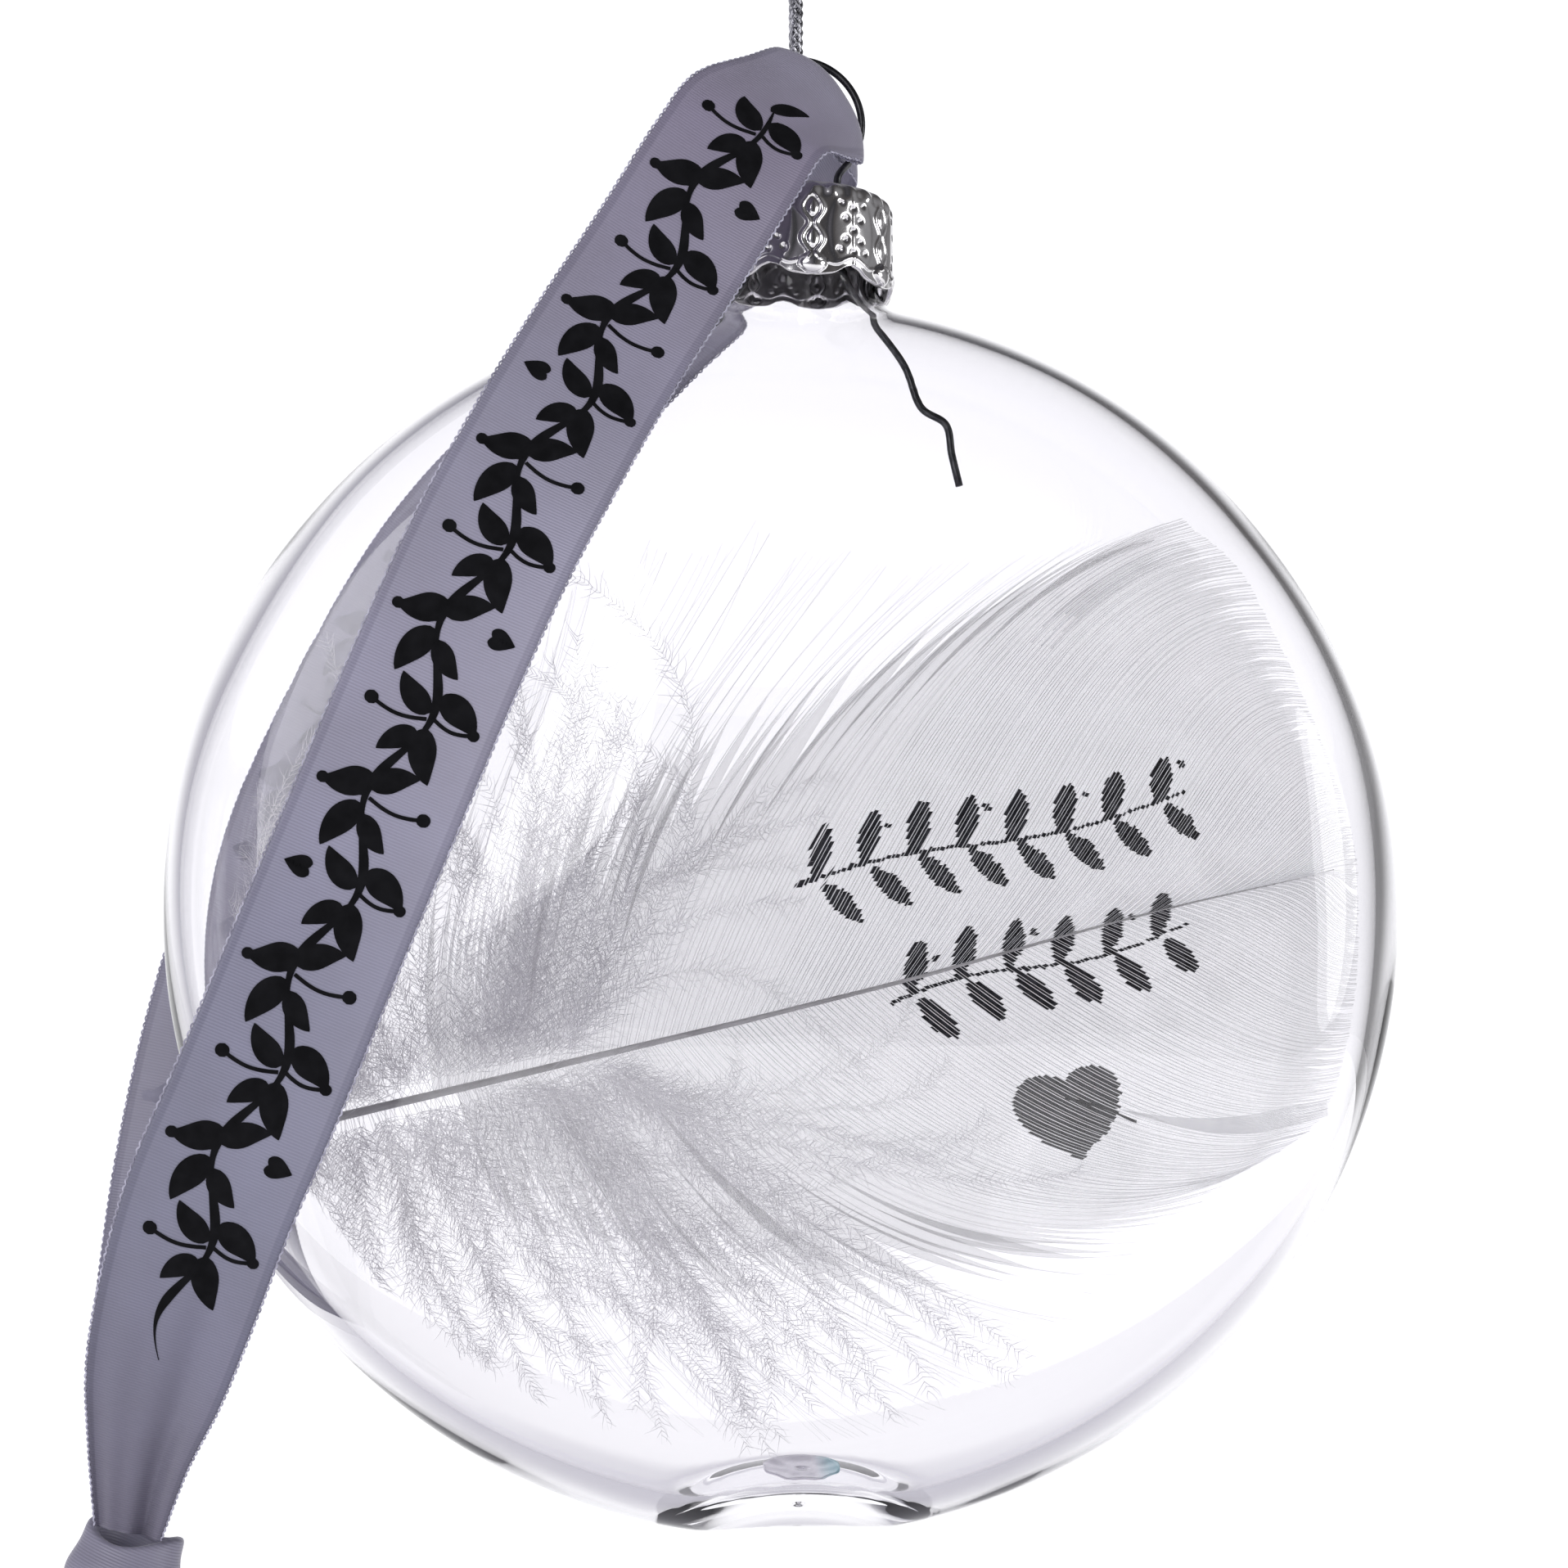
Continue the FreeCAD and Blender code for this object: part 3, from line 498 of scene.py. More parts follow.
def make_wire():
    """The ring with its small bends, and its two legs, made as they stand with the cap on; on the real hanger
    they squeeze together as the cap is pulled off.
    """
    leg_x, leg_top = LEG[0]
    bend_x = leg_x + RING_BEND
    drop = math.sqrt((RING_RADIUS + RING_BEND) ** 2 - bend_x**2)
    bend = np.linspace(math.pi, math.atan2(drop, -bend_x), 10)
    curl = np.stack([bend_x + RING_BEND * np.cos(bend), RING_HEIGHT - drop + RING_BEND * np.sin(bend)], 1)
    low = math.atan2(-drop, bend_x)
    arc = np.linspace(low, math.pi - low, 96)
    ring = np.stack([RING_RADIUS * np.cos(arc), RING_HEIGHT + RING_RADIUS * np.sin(arc)], 1)
    right = np.vstack([[[leg_x, leg_top + 0.2]], curl])
    line = np.vstack([right, ring[1:-1], right[::-1] * [-1, 1]])
    path = even(np.stack([line[:, 0], np.zeros(len(line)), line[:, 1]], 1), 220)
    material = cloudy_material("spring_steel", 1800.0, (0.35, (0.045, 0.046, 0.05)), (0.7, (0.10, 0.10, 0.105)),
                               Metallic=1.0, Roughness=0.34)
    dress(tubes("wire_ring", [path], WIRE_RADIUS, 14, material), "wire", "hanger", "wire_hanger")
    # the left leg is bent out a little further below the neck
    for name, side, spread, squeezed in (("wire_leg_right", 1, 1.0, 0.45), ("wire_leg_left", -1, 1.13, 0.40)):
        points = [(side * leg_x, 0.0, leg_top + 0.3)]
        points += [(side * x * (spread if z < 36 else 1.0), 0.0, z) for x, z in LEG]
        leg = tubes(name, [spline(points, 90)], WIRE_RADIUS, 14, material)
        dress(leg, "wire", "hanger", "wire_hanger")
        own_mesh(leg)


def plait(path, pitch=2.6, strand=0.15):
    """Eight strands that pass over and under each other round a path, as their own paths."""
    side, up = cross_directions(path)
    along = np.linspace(0, lengths(path)[-1], len(path))
    strands = []
    for number in range(8):
        way = 1 if number % 2 else -1
        turn = way * 2 * math.pi * along / pitch + number // 2 * math.pi / 2
        weave = 0.045 * way * np.cos(2 * turn * way + 0.3)
        out = (CORD_DIAMETER / 2 - strand + weave)[:, None]
        strands.append(path + (np.cos(turn)[:, None] * side + np.sin(turn)[:, None] * up) * out)
    return strands


def cord_line(route):
    """The cord's centre line in metres: a NURBS spline with the route as its control points."""
    data = bpy.data.curves.new("cord_route", "CURVE")
    data.dimensions = "3D"
    curve = data.splines.new("NURBS")
    curve.points.add(len(route) - 1)
    for control, point in zip(curve.points, route):
        control.co = (*point, 1.0)
    curve.order_u = 3
    curve.use_endpoint_u = True
    curve.resolution_u = 40
    holder = bpy.data.objects.new("cord_route", data)
    bpy.context.scene.collection.objects.link(holder)
    bpy.context.view_layer.update()
    read = bpy.data.meshes.new_from_object(holder)
    line = np.array([v.co for v in read.vertices], float)
    bpy.data.objects.remove(holder)
    bpy.data.meshes.remove(read)
    return line


def make_cord():
    """The plaited silver cord, and the overhand knot over the hook with its frayed tails."""
    thread = cloudy_material("silver_thread", 2600.0, (0.35, (0.10, 0.10, 0.11)), (0.62, (0.62, 0.62, 0.66)),
                             Metallic=1.0, Roughness=0.25)
    strands = []
    for side in (-1, 1):
        half = spline([(side * x, side * y, z - CENTRE_Z) for x, y, z in KNOT_HALF], 300)
        strands += plait(half, 1.6)
    dress(tubes("cord_knot_braid", strands, 0.13, 6, thread), "cord", "cord", "cord_knot")
    front = [(0.0, y * MM, z * MM) for y, z in CORD]
    line = cord_line(front + [(0.0, -y, z) for _, y, z in reversed(front)])
    path = even(line / MM, 900) - np.array([0.0, 0.0, CENTRE_Z])
    braid = tubes("cord_braid", plait(path), 0.15, 6, thread)
    dress(braid, "cord", "cord", "hanging_cord")


# ---------------------------------------------------------------- ribbon

def strip_stations(route, side):
    """Rows of points across a strip, from its first station on; the first column is the upper left edge."""
    w = np.linspace(-1, 1, RIBBON_COLUMNS)
    middle = np.array([(x, side * y, z) for x, y, z, _ in route])
    along = np.gradient(middle, axis=0)
    across = np.stack([-along[:, 2], np.zeros(len(route)), along[:, 0]], 1)
    across /= np.linalg.norm(across, axis=1)[:, None]
    # the sides curl a little away from the glass, and the gathered end folds into pleats
    pleat = np.cos(math.pi * (1.55 * w + 0.35)) + 0.4 * np.cos(math.pi * (3.1 * w - 0.2))
    rows = []
    for place, way, (_, _, _, kept) in zip(middle, across, route):
        row = place + way * (w * kept * RIBBON_WIDTH / 2)[:, None]
        row[:, 1] += side * (0.55 * w**2 + 0.95 * math.sqrt(1 / kept - 1) * pleat * kept)
        rows.append(row)
    return rows


def ring_stations(side):
    """Rows where the ribbon is cupped through the wire ring, from the middle plane outwards."""
    w = np.linspace(-1, 1, RIBBON_COLUMNS)
    degrees = 34 - 72 * w
    turn = np.radians(degrees)
    under_cord = 0.95 * np.exp(-((degrees - 95) / 17.0) ** 2)
    flare = np.where(w < 0, 1.3, 2.25) * w**2
    rows = []
    for depth, opened in ((0.0, 0.0), (1.25, 0.75), (2.6, 1.0)):
        radius = 3.12 - 0.75 * under_cord * (1 - opened) + flare * opened
        rows.append(np.stack([radius * np.cos(turn), np.full(len(w), side * depth),
                              RING_HEIGHT + radius * np.sin(turn)], 1))
    return rows


def strand_stations(route, side):
    """Rows from the wire ring down one strip, with one between them where the ribbon turns down."""
    ring, strip = ring_stations(side), strip_stations(route, side)
    leaving = ring[-1] * 0.62 + strip[0] * 0.38
    leaving[:, 1] += side * 0.4
    return ring + [leaving] + strip


def sheet_normals(surface):
    """Unit normals of a grid of points."""
    normal = np.cross(np.gradient(surface, axis=0), np.gradient(surface, axis=1))
    return normal / (np.linalg.norm(normal, axis=2)[..., None] + 1e-12)


def keep_on_points(piece, vectors):
    """Each point's place on the strip, which the satin reads."""
    attribute = piece.data.attributes.new("strip", "FLOAT_VECTOR", "POINT")
    attribute.data.foreach_set("vector", np.asarray(vectors, np.float32).ravel())


def slab(name, surface, along, material):
    """A closed strip of ribbon round a grid of points; along is each row's length along it."""
    normal = sheet_normals(surface) * RIBBON_SHEET / 2
    rings = np.concatenate([surface + normal, (surface - normal)[:, ::-1]], 1)
    rows, columns = rings.shape[:2]
    faces = grid_faces(rows, columns)
    for first, flip in ((0, 1), ((rows - 1) * columns, -1)):
        for k in range(columns // 2 - 1):
            face = [first + k, first + k + 1, first + columns - 2 - k, first + columns - 1 - k]
            faces.append(face[::flip])
    piece = add_mesh(name, rings.reshape(-1, 3), faces, material)
    across = np.linspace(-RIBBON_WIDTH / 2, RIBBON_WIDTH / 2, RIBBON_COLUMNS)
    across = np.concatenate([across, across[::-1]])
    keep_on_points(piece, np.stack(np.broadcast_arrays(along[:, None], across[None], 0.0), -1))
    return piece


class Ribbon:
    """The loop's surface, from the knot up the back strip, through the ring and down the front strip."""

    def __init__(self):
        self.surface = spline(strand_stations(BACK, 1)[:0:-1] + strand_stations(FRONT, -1), RIBBON_ROWS, 60)
        self.normal = sheet_normals(self.surface)
        middle = RIBBON_COLUMNS // 2
        if self.normal[-RIBBON_ROWS // 4, middle, 1] > 0:
            self.normal = -self.normal
        line = self.surface[:, middle]
        apex = int(np.argmin(np.abs(line[:, 1]) + 10 * (line[:, 2] < 0)))
        self.length = lengths(line)[-1]
        self.along = lengths(line) - lengths(line)[apex]

    def at(self, s, w, lift):
        """Points on the ribbon: s along from the ring (positive in front), w across, lifted off its face."""
        row = np.interp(s, self.along, np.arange(RIBBON_ROWS))
        column = np.clip((w / RIBBON_WIDTH + 0.5) * (RIBBON_COLUMNS - 1), 0, RIBBON_COLUMNS - 1)
        r, c = np.minimum(row.astype(int), RIBBON_ROWS - 2), np.minimum(column.astype(int), RIBBON_COLUMNS - 2)
        fr, fc = (row - r)[..., None], (column - c)[..., None]
        out = 0
        for grid, weight in ((self.surface, 1.0), (self.normal, lift)):
            out = out + weight * ((grid[r, c] * (1 - fc) + grid[r, c + 1] * fc) * (1 - fr)
                                  + (grid[r + 1, c] * (1 - fc) + grid[r + 1, c + 1] * fc) * fr)
        return out


# Each stroke of the print is its line as (along, across) points and its half widths.

def turned(start, angle, x, y):
    """A line with its own x and y, turned by an angle and moved to its start."""
    c, s = math.cos(angle), math.sin(angle)
    return np.stack([start[0] + x * c - y * s, start[1] + x * s + y * c], 1)


def leaf(start, angle, length, width, bend=0.25):
    """A pointed leaf."""
    t = np.linspace(0, 1, 15)
    line = turned(start, angle, length * t, bend * length * t * (1 - t) * 1.6)
    return line, width / 2 * np.sin(math.pi * t**0.75) ** 0.8 + 0.02


def bud(start, end, radius):
    """A round bud on a short bent stalk."""
    t = np.linspace(0, 1, 13)
    stalk = np.array(start) + (np.array(end) - np.array(start)) * t[:, None]
    stalk[:, 0] += 0.35 * np.sin(math.pi * t)
    u = np.linspace(-1, 1, 11)
    ball = turned(end, 0.0, radius * u, 0 * u)
    return [(stalk, np.full(len(t), 0.12)), (ball, radius * np.sqrt(np.maximum(1 - u**2, 0)) + 0.01)]


def heart(middle, size, angle):
    """Two lobes that meet in a point."""
    t = np.linspace(0, 1, 21)
    half = size * 0.36 * np.sin(math.pi * 0.995 * t**1.7) ** 0.55 + 0.01
    return [(turned(middle, angle, size * (-0.75 + 1.45 * t), side * size * 0.31 * t**0.9), half)
            for side in (-1, 1)]


def vine():
    """The printed pattern: a winding stem with pairs of leaves, buds and small hearts."""
    first, last, wave, swing = 9.0, 100.0, 11.4, 0.95
    s = np.linspace(first, last, 900)
    phase = 2 * math.pi * (s - first) / wave
    ends = np.clip(np.minimum(s - first, last - s) / 4.0, 0.12, 1)
    strokes = [(np.stack([s, swing * np.sin(phase)], 1), (0.23 + 0.07 * np.sin(2 * phase)) * ends),
               leaf((first + 0.8, 0.2), 2.5, 2.6, 1.2)]
    for number in range(int((last - first) / wave * 2)):
        at = first + wave / 4 + number * wave / 2
        side = 1 if number % 2 == 0 else -1
        top = swing * side
        strokes += [leaf((at - 1.1, top * 0.9), 1.15 * side, 3.2, 1.75),
                    leaf((at + 0.8, top * 0.9), 0.42 * side, 3.5, 1.7, -0.2),
                    leaf((at - 0.2, top * 0.8), -2.15 * side, 3.0, 1.5),
                    leaf((at + 1.3, top * 0.6), -0.85 * side, 2.7, 1.35, -0.2)]
        if number % 3 == 1:
            strokes += heart((at - 0.1, -3.0 * side), 1.15, 1.6 * side)
        else:
            strokes += bud((at + 0.3, top * 0.7), (at + 0.35, -2.9 * side), 0.42)
        strokes += bud((at + 0.1, top), (at + 0.2, 3.7 * side), 0.36)
    return strokes


def printed(name, ribbon, strokes, lift, material, mirror=False):
    """The strokes as thin closed patches that lie on the ribbon."""
    patches = []
    for line, half in strokes:
        along = np.gradient(line, axis=0)
        along /= np.linalg.norm(along, axis=1)[:, None] + 1e-9
        across = np.stack([-along[:, 1], along[:, 0]], 1)
        ring = []
        for share, up in ((-1, 1), (0, 1), (1, 1), (1, 0), (0, 0), (-1, 0)):
            s, w = (line + across * (half * share)[:, None]).T
            ring.append(ribbon.at(-s if mirror else s, np.clip(w, -4.6, 4.6), lift * (1 + 0.4 * up)))
        patches.append(np.stack(ring, 1))
    halves = [0, 1, 4, 5], [1, 2, 3, 4]
    return dress(stacks(name, patches, material, smooth=False, ends=halves), "ribbon", "ribbon")


def selvedges(name, surface, material):
    """The row of tiny thread loops along both woven edges."""
    spacing, reach, thread = 0.5, 0.13, 0.065
    paths = []
    for edge, inner in ((0, 1), (-1, -2)):
        length = lengths(surface[:, edge])[-1]
        count = int(length / 0.085)
        path = even(surface[:, edge], count)
        out = path - even(surface[:, inner], count)
        out /= np.linalg.norm(out, axis=1)[:, None] + 1e-9
        loop = reach * np.abs(np.sin(math.pi * np.linspace(0, length, count) / spacing)) - 0.02
        paths.append(path + out * loop[:, None])
    return dress(tubes(name, paths, thread, 5, material), "ribbon", "ribbon")


def knot_band(name, shift, tilt, radii, half_width, half_thick, folds, material):
    """A crowned, pleated band of ribbon wrapped once round the gathered strips."""
    turns, rounds = 120, 56
    t, f = np.meshgrid(circle(turns), circle(rounds), indexing="ij")
    pleat = 0.17 * np.cos(folds * np.sin(f) * 3.0 + 0.9 * np.sin(t) + 0.4) * (np.cos(f) > -0.2)
    thick = half_thick * np.sign(np.cos(f)) * np.abs(np.cos(f)) ** 0.7 + pleat
    wide = half_width * np.sin(f) * (1 + 0.16 * np.cos(2 * t + 0.5))
    x, y = (radii[0] + thick) * np.cos(t), (radii[1] + thick) * np.sin(t)
    z = wide + 0.35 * np.sin(t + 0.6)
    c, s = math.cos(tilt), math.sin(tilt)
    points = (np.stack([x * c - z * s, y, x * s + z * c], -1) + KNOT + shift).reshape(-1, 3)
    band = add_mesh(name, points, grid_faces(turns, rounds, wrap_rows=True), material)
    along = points[:, 2] + CENTRE_Z + 0.4 * points[:, 0]
    keep_on_points(band, np.stack([along, 0 * along, 0 * along], 1))
    return dress(band, "ribbon", "ribbon", "ribbon_knot")


def tail_surface(side):
    """A cut tail: pleated where it leaves the knot, flat with a lazy twist at its cut end."""
    x, _, z = KNOT
    shift = 0.9 * side
    route = [(x + 0.1, 0.5, z - 0.5, 0.36), (x - 0.1, 1.1, z - 4.2, 0.42),
             (x - 0.7 + shift * 0.5, 1.7, z - 9.0, 0.68), (x - 1.4 + shift, 2.2, z - 15.0, 0.93),
             (x - 2.1 + shift, 2.3, z - 20.0, 0.99), (x - 2.4 + shift, 2.1, z - 23.4, 1.0)]
    surface = spline(strip_stations(route, side), TAIL_ROWS, 60)
    w = np.linspace(-1, 1, RIBBON_COLUMNS)
    t = np.linspace(0, 1, TAIL_ROWS)[:, None]
    # the end is cut on the slant
    surface[..., 2] += np.clip(t - 0.8, 0, 1) / 0.2 * 1.3 * (1 + w[None] * side)
    surface[..., 1] *= 1 - 0.25 * np.clip(t - 0.5, 0, 1)
    return surface


def make_ribbon():
    """The ribbon loop with its print and woven edges, its knot and the two cut tails."""
    # partly painted shade: the satin's lilac-grey is darker than the ribbon's own white-lilac, for the shade it
    # hangs in
    satin = satin_material("lilac_satin", (0.415, 0.400, 0.525), (0.36, 0.345, 0.44))
    # thread of the woven edge: light loops with darker gaps
    yarn = cloudy_material("selvedge_yarn", 1700.0, (0.35, (0.30, 0.29, 0.38)), (0.65, (0.62, 0.61, 0.74)),
                           detail=2.0, Roughness=0.6, Sheen_Weight=0.2)
    ink = ink_material("black_print", (0.002, 0.002, 0.003), (0.008, 0.008, 0.010), 900.0)
    # painted shadow: a grey copy of the print on the inner face of the back strip stands for the print showing
    # through the satin against the light
    print_shadow_ink = ink_material("print_seen_through", (0.24, 0.235, 0.30), (0.34, 0.33, 0.42), 700.0)
    ribbon = Ribbon()
    loop = slab("ribbon_loop", ribbon.surface, ribbon.along, satin)
    dress(loop, "ribbon", "ribbon", "ribbon_front", "ribbon_back", "ribbon_fold")
    strokes = vine()
    face = RIBBON_SHEET / 2 + 0.012
    extras = [selvedges("ribbon_selvedges", ribbon.surface, yarn),
              printed("ribbon_print", ribbon, strokes, face, ink),
              printed("ribbon_print_back", ribbon, strokes, face, ink, mirror=True),
              printed("ribbon_print_through", ribbon, strokes, -face, print_shadow_ink, mirror=True)]
    knot_band("ribbon_knot_band", [0.2, 0, 0.3], -0.28, (2.7, 2.25), 2.55, 0.75, 1.5, satin)
    knot_band("ribbon_knot_turn", [-0.5, 0, -1.2], 0.55, (2.35, 2.0), 1.75, 0.62, 1.2, satin)
    for name, side in (("ribbon_tail_front", -1), ("ribbon_tail_back", 1)):
        surface = tail_surface(side)
        tail = slab(name + "_satin", surface, np.linspace(0, TAIL_LENGTH, TAIL_ROWS), satin)
        dress(tail, "ribbon", "ribbon", name)
        edges = selvedges(name + "_selvedges", surface, yarn)


# ---------------------------------------------------------------- cap

def embossing(arc, height):
    """How far the stamped pattern stands out, at a place across one of its seven sectors."""
    side = np.abs(arc)
    # two lines that swing apart and together enclose a row of pointed shields
    swing = 0.22 + 0.52 * (0.5 + 0.5 * np.cos(2 * math.pi * (height - 2.35) / 2.05)) ** 0.8
    chain = 0.15 * np.exp(-((side - swing) / 0.15) ** 2) * (height > 0.9)
    raised, pits = 0.0, 0.0
    for place, wide, high, rise in ((2.35, 0.40, 0.62, 0.17), (4.4, 0.38, 0.58, 0.17), (0.72, 1.0, 0.75, 0.42)):
        inside = 1 - (side / wide) ** 1.6 - np.abs((height - place) / high) ** 1.7
        raised = raised + rise * np.sqrt(np.clip(inside, 0, 1))
    panel = 0.10 / (1 + np.exp((np.hypot(side - 2.95, 0.6 * (height - 3.0)) - 1.75) / 0.09))
    for out, place in ((0.0, 1.7), (0.62, 2.45), (0.0, 3.15), (0.62, 3.85), (0.0, 4.6), (0.9, 4.9),
                       (1.05, 1.75)):
        pits = pits + np.exp(-(((side - SCALLOP_HALF + out) ** 2 + (height - place) ** 2) / 0.19**2))
    foot = 0.10 * np.exp(-((height - 1.05 - 0.25 * np.cos(side * 2.1)) / 0.12) ** 2) * (side > 1.0)
    return chain + raised + panel + foot - 0.2 * pits


def cap_skin(theta, inset):
    """One skin of the cap, from the middle of its sunk top over the fluted corner and down the skirt."""
    sector = 2 * math.pi / SCALLOPS
    arc = ((theta - CAP_TURN + sector / 2) % sector - sector / 2) * CAP_RADIUS
    flutes = 0.10 * np.cos(2 * math.pi * arc / FLUTE_PITCH)
    scallop = 0.95 * np.clip(np.abs(arc) / SCALLOP_HALF, 0, 1) ** 2.2 * (1 - 0.12 * np.cos(arc * 4.2))
    seam = 0.07 * np.exp(-(((theta - CAP_TURN - 0.44) % (2 * math.pi)) / 0.02) ** 2)
    radius, corner, top = CAP_RADIUS - 0.25 - inset, CAP_CORNER - inset, CAP_TOP - inset
    start, foot = top - corner, CAP_TOP - CAP_SKIRT
    rings = []

    def add(out, height):
        rings.append(np.stack([out * np.cos(theta), out * np.sin(theta), height + 0 * theta], 1))

    for out in np.linspace(0.02, radius - corner, 16):
        slope = np.clip((3.9 - out) / 0.5, 0, 1)
        add(out, top - 0.35 * slope**2 * (3 - 2 * slope))
    for bend in np.linspace(0, math.pi / 2, 10)[1:]:
        add(radius - corner + (corner + flutes) * math.sin(bend), start + corner * math.cos(bend))
    for share in np.linspace(0, 1, 92)[1:]:
        height = start + (foot + scallop - start) * share
        fade = np.clip((start - height) / 0.4, 0, 1)
        relief = (embossing(arc, height - foot) + seam) * fade * (1 - 0.35 * (inset > 0))
        add(radius + relief + flutes * (1 - fade), height)
    return rings


def make_cap():
    """The stamped crown cap: embossed skirt with a scalloped edge, and two holes for the wire."""
    theta = circle(CAP_COLUMNS)
    rings = np.array(cap_skin(theta, 0.0) + cap_skin(theta, CAP_SHEET)[::-1])
    cap = stacks("stamped_cap", [rings], chrome_material())
    for side in (-1, 1):
        axis = np.array([[side * LEG[0][0], 0.0, CAP_TOP + height] for height in (-1.6, -0.8, 0.0, 0.8)])
        drill = tubes("drill", [axis], 0.72, 28, cap.data.materials[0])
        cut = cap.modifiers.new("hole", "BOOLEAN")
        cut.operation, cut.solver, cut.object = "DIFFERENCE", "EXACT", drill
        shaped = bpy.data.meshes.new_from_object(cap.evaluated_get(bpy.context.evaluated_depsgraph_get()))
        cap.modifiers.clear()
        cap.data = shaped
        bpy.data.objects.remove(drill)
    dress(cap, "cap_metal", "hanger", "crown_cap")


# ---------------------------------------------------------------- feather

def bow(x, z):
    """How far the feather's plane bows out of the disc's middle plane."""
    return 0.9 * np.sin(0.055 * x + 0.4) - 0.0011 * (z - 0.25 * x) ** 2


def lifted(line, depth=0.0):
    """A line in the feather's plane as points on its bowed sheet."""
    return np.stack([line[:, 0], bow(line[:, 0], line[:, 1]) + depth, line[:, 1]], 1)


SHAFT_LINE = in_plane(SHAFT, 400)


def on_line(line, share):
    return line[int(share * (len(line) - 1))]


def towards(degrees):
    return np.array([math.cos(math.radians(degrees)), math.sin(math.radians(degrees))])


def barb(start, end, angle_start, angle_end, count=BARB_POINTS):
    """A curved barb in the feather's plane from the shaft to its tip; angles in degrees."""
    start, end = np.asarray(start, float), np.asarray(end, float)
    length = np.linalg.norm(end - start)
    leave, arrive = start + 0.48 * length * towards(angle_start), end - 0.30 * length * towards(angle_end)
    t = np.linspace(0, 1, count)[:, None]
    return (1 - t) ** 3 * start + 3 * (1 - t) ** 2 * t * leave + 3 * (1 - t) * t * t * arrive + t**3 * end


def vane_barbs(tips, first, angles_start, angles_end, number, rng):
    """Barbs side by side from the shaft's middle to its tip."""
    ends = in_plane(tips, 300)
    out = []
    for share in np.linspace(0, 1, number):
        start = on_line(SHAFT_LINE, first + (0.985 - first) * share**0.96)
        end = on_line(ends, share) + rng.normal(0, 0.05, 2)
        out.append(barb(start, end, np.interp(share, *angles_start),
                        np.interp(share, *angles_end) + rng.normal(0, 0.5)))
    return np.array(out)


def clumped(tips, shares, starts, ends, number, rng):
    """Barbs beside the closed web: each springs from the shaft, and their tips cling together in threes."""
    line = in_plane(tips, 300)
    places = np.linspace(0, 1, number)
    stray = rng.normal(0, 1, (number // 3 + 1, 2)) * 0.55
    centre = np.array([DISC_SHIFT, 0.0])
    out = []
    for k, share in enumerate(places):
        group = places[min(3 * (k // 3) + 1, number - 1)]
        loose = 1 - share**3
        start = on_line(SHAFT_LINE, shares[0] + (shares[1] - shares[0]) * share)
        end = on_line(line, share + 0.7 * loose * (group - share))
        end = end + loose * (stray[k // 3] + rng.normal(0, 0.35, 2))
        end = centre + (end - centre) * min(1.0, SPREAD_REACH / np.linalg.norm(end - centre))
        a = np.interp(share, *starts) + loose * rng.normal(0, 1.5)
        b = np.interp(share, *ends) + loose * rng.normal(0, 5)
        out.append(barb(start, end, a, b))
    return np.array(out)


def combed(side, rng):
    """Short straight barbs close to the shaft's foot, under the down."""
    out = []
    for share in np.arange(0.02, 0.24, 0.0040):
        start = on_line(SHAFT_LINE, share)
        angle = (88 - 60 * share if side > 0 else -86 + 75 * share) + rng.normal(0, 2.0)
        end = start + rng.uniform(2.5, 5.0) * towards(angle)
        out.append(barb(start, end, angle - side * 10, angle + side * 16, count=9))
    return out


def flat_rings(near, far, half):
    """Rings of a thin flat strip between two lines."""
    thin = np.array([0.0, half, 0.0])
    return np.stack([near - thin, far - thin, far + thin, near + thin], 1)


def web(name, barbs, closed, material, rng):
    """The web: a thin strip from each barb towards the next, parting beyond the closed share of its length."""
    strips = []
    t = np.linspace(0, 1, barbs.shape[1])
    for here, beyond, shut in zip(barbs[:-1], barbs[1:], closed):
        parted, slope = (rng.uniform(0.6, 0.97), 0.08) if shut > CLOSED_SHARE else (0.985, 0.22)
        parting = 1 - np.clip((t - shut - rng.uniform(-0.05, 0.04)) / slope, 0, 1) * parted
        edge = here + (beyond - here) * (0.97 * parting)[:, None]
        strips.append(flat_rings(lifted(here), lifted(edge), 0.012))
    return stacks(name, strips, material)


def hairs(name, lines, thick, material, *nodes, sides=4):
    """Tapering hairs, each a closed tube."""
    piece = tubes(name, lines, lambda share: thick * (1 - 0.75 * share**1.5), sides, material)
    return dress(piece, "feather", "feather", *nodes)


def curled(start, heading, length):
    """A line in the feather's plane from its start, turning through the headings."""
    step = length / (len(heading) - 1)
    turns = [np.cos(heading[:-1]) * step, np.sin(heading[:-1]) * step]
    return [origin + np.concatenate([[0], np.cumsum(turn)]) for origin, turn in zip(start, turns)]


def plume(start, angle, length, bend, depth, sway, rng):
    """A wavy soft barb of down."""
    t = np.linspace(0, 1, 24)
    heading = (math.radians(angle) + bend * t**1.4 + 0.30 * np.sin(5.5 * t + sway) * t
               + 0.10 * np.sin(14 * t + rng.uniform(0, 6)) * t)
    x, z = curled(start, heading, length)
    return np.stack([x, bow(x, z) + depth * t**1.3, z], 1)


def barbules(line, rng):
    """Fine curled threads along both sides of a barb, leaning towards its tip."""
    along = lengths(line)
    t = np.linspace(0, 1, 4)
    out = []
    for place in np.arange(DOWN_SPACING * 3, along[-1], DOWN_SPACING):
        here, ahead = ([np.interp(at, along, line[:, k]) for k in range(3)]
                       for at in (place, min(place + 0.3, along[-1])))
        heading = math.atan2(ahead[2] - here[2], ahead[0] - here[0])
        for side in (-1, 1):
            angle = heading + side * rng.uniform(0.25, 1.25)
            length = DOWN_REACH * (1 - 0.6 * place / along[-1]) * rng.uniform(0.45, 1.25)
            x, z = curled((here[0], here[2]), angle + rng.normal(-0.35 * side, 0.7) * t, length)
            out.append(np.stack([x, here[1] + rng.uniform(-0.4, 0.4) * length * t, z], 1))
    return out


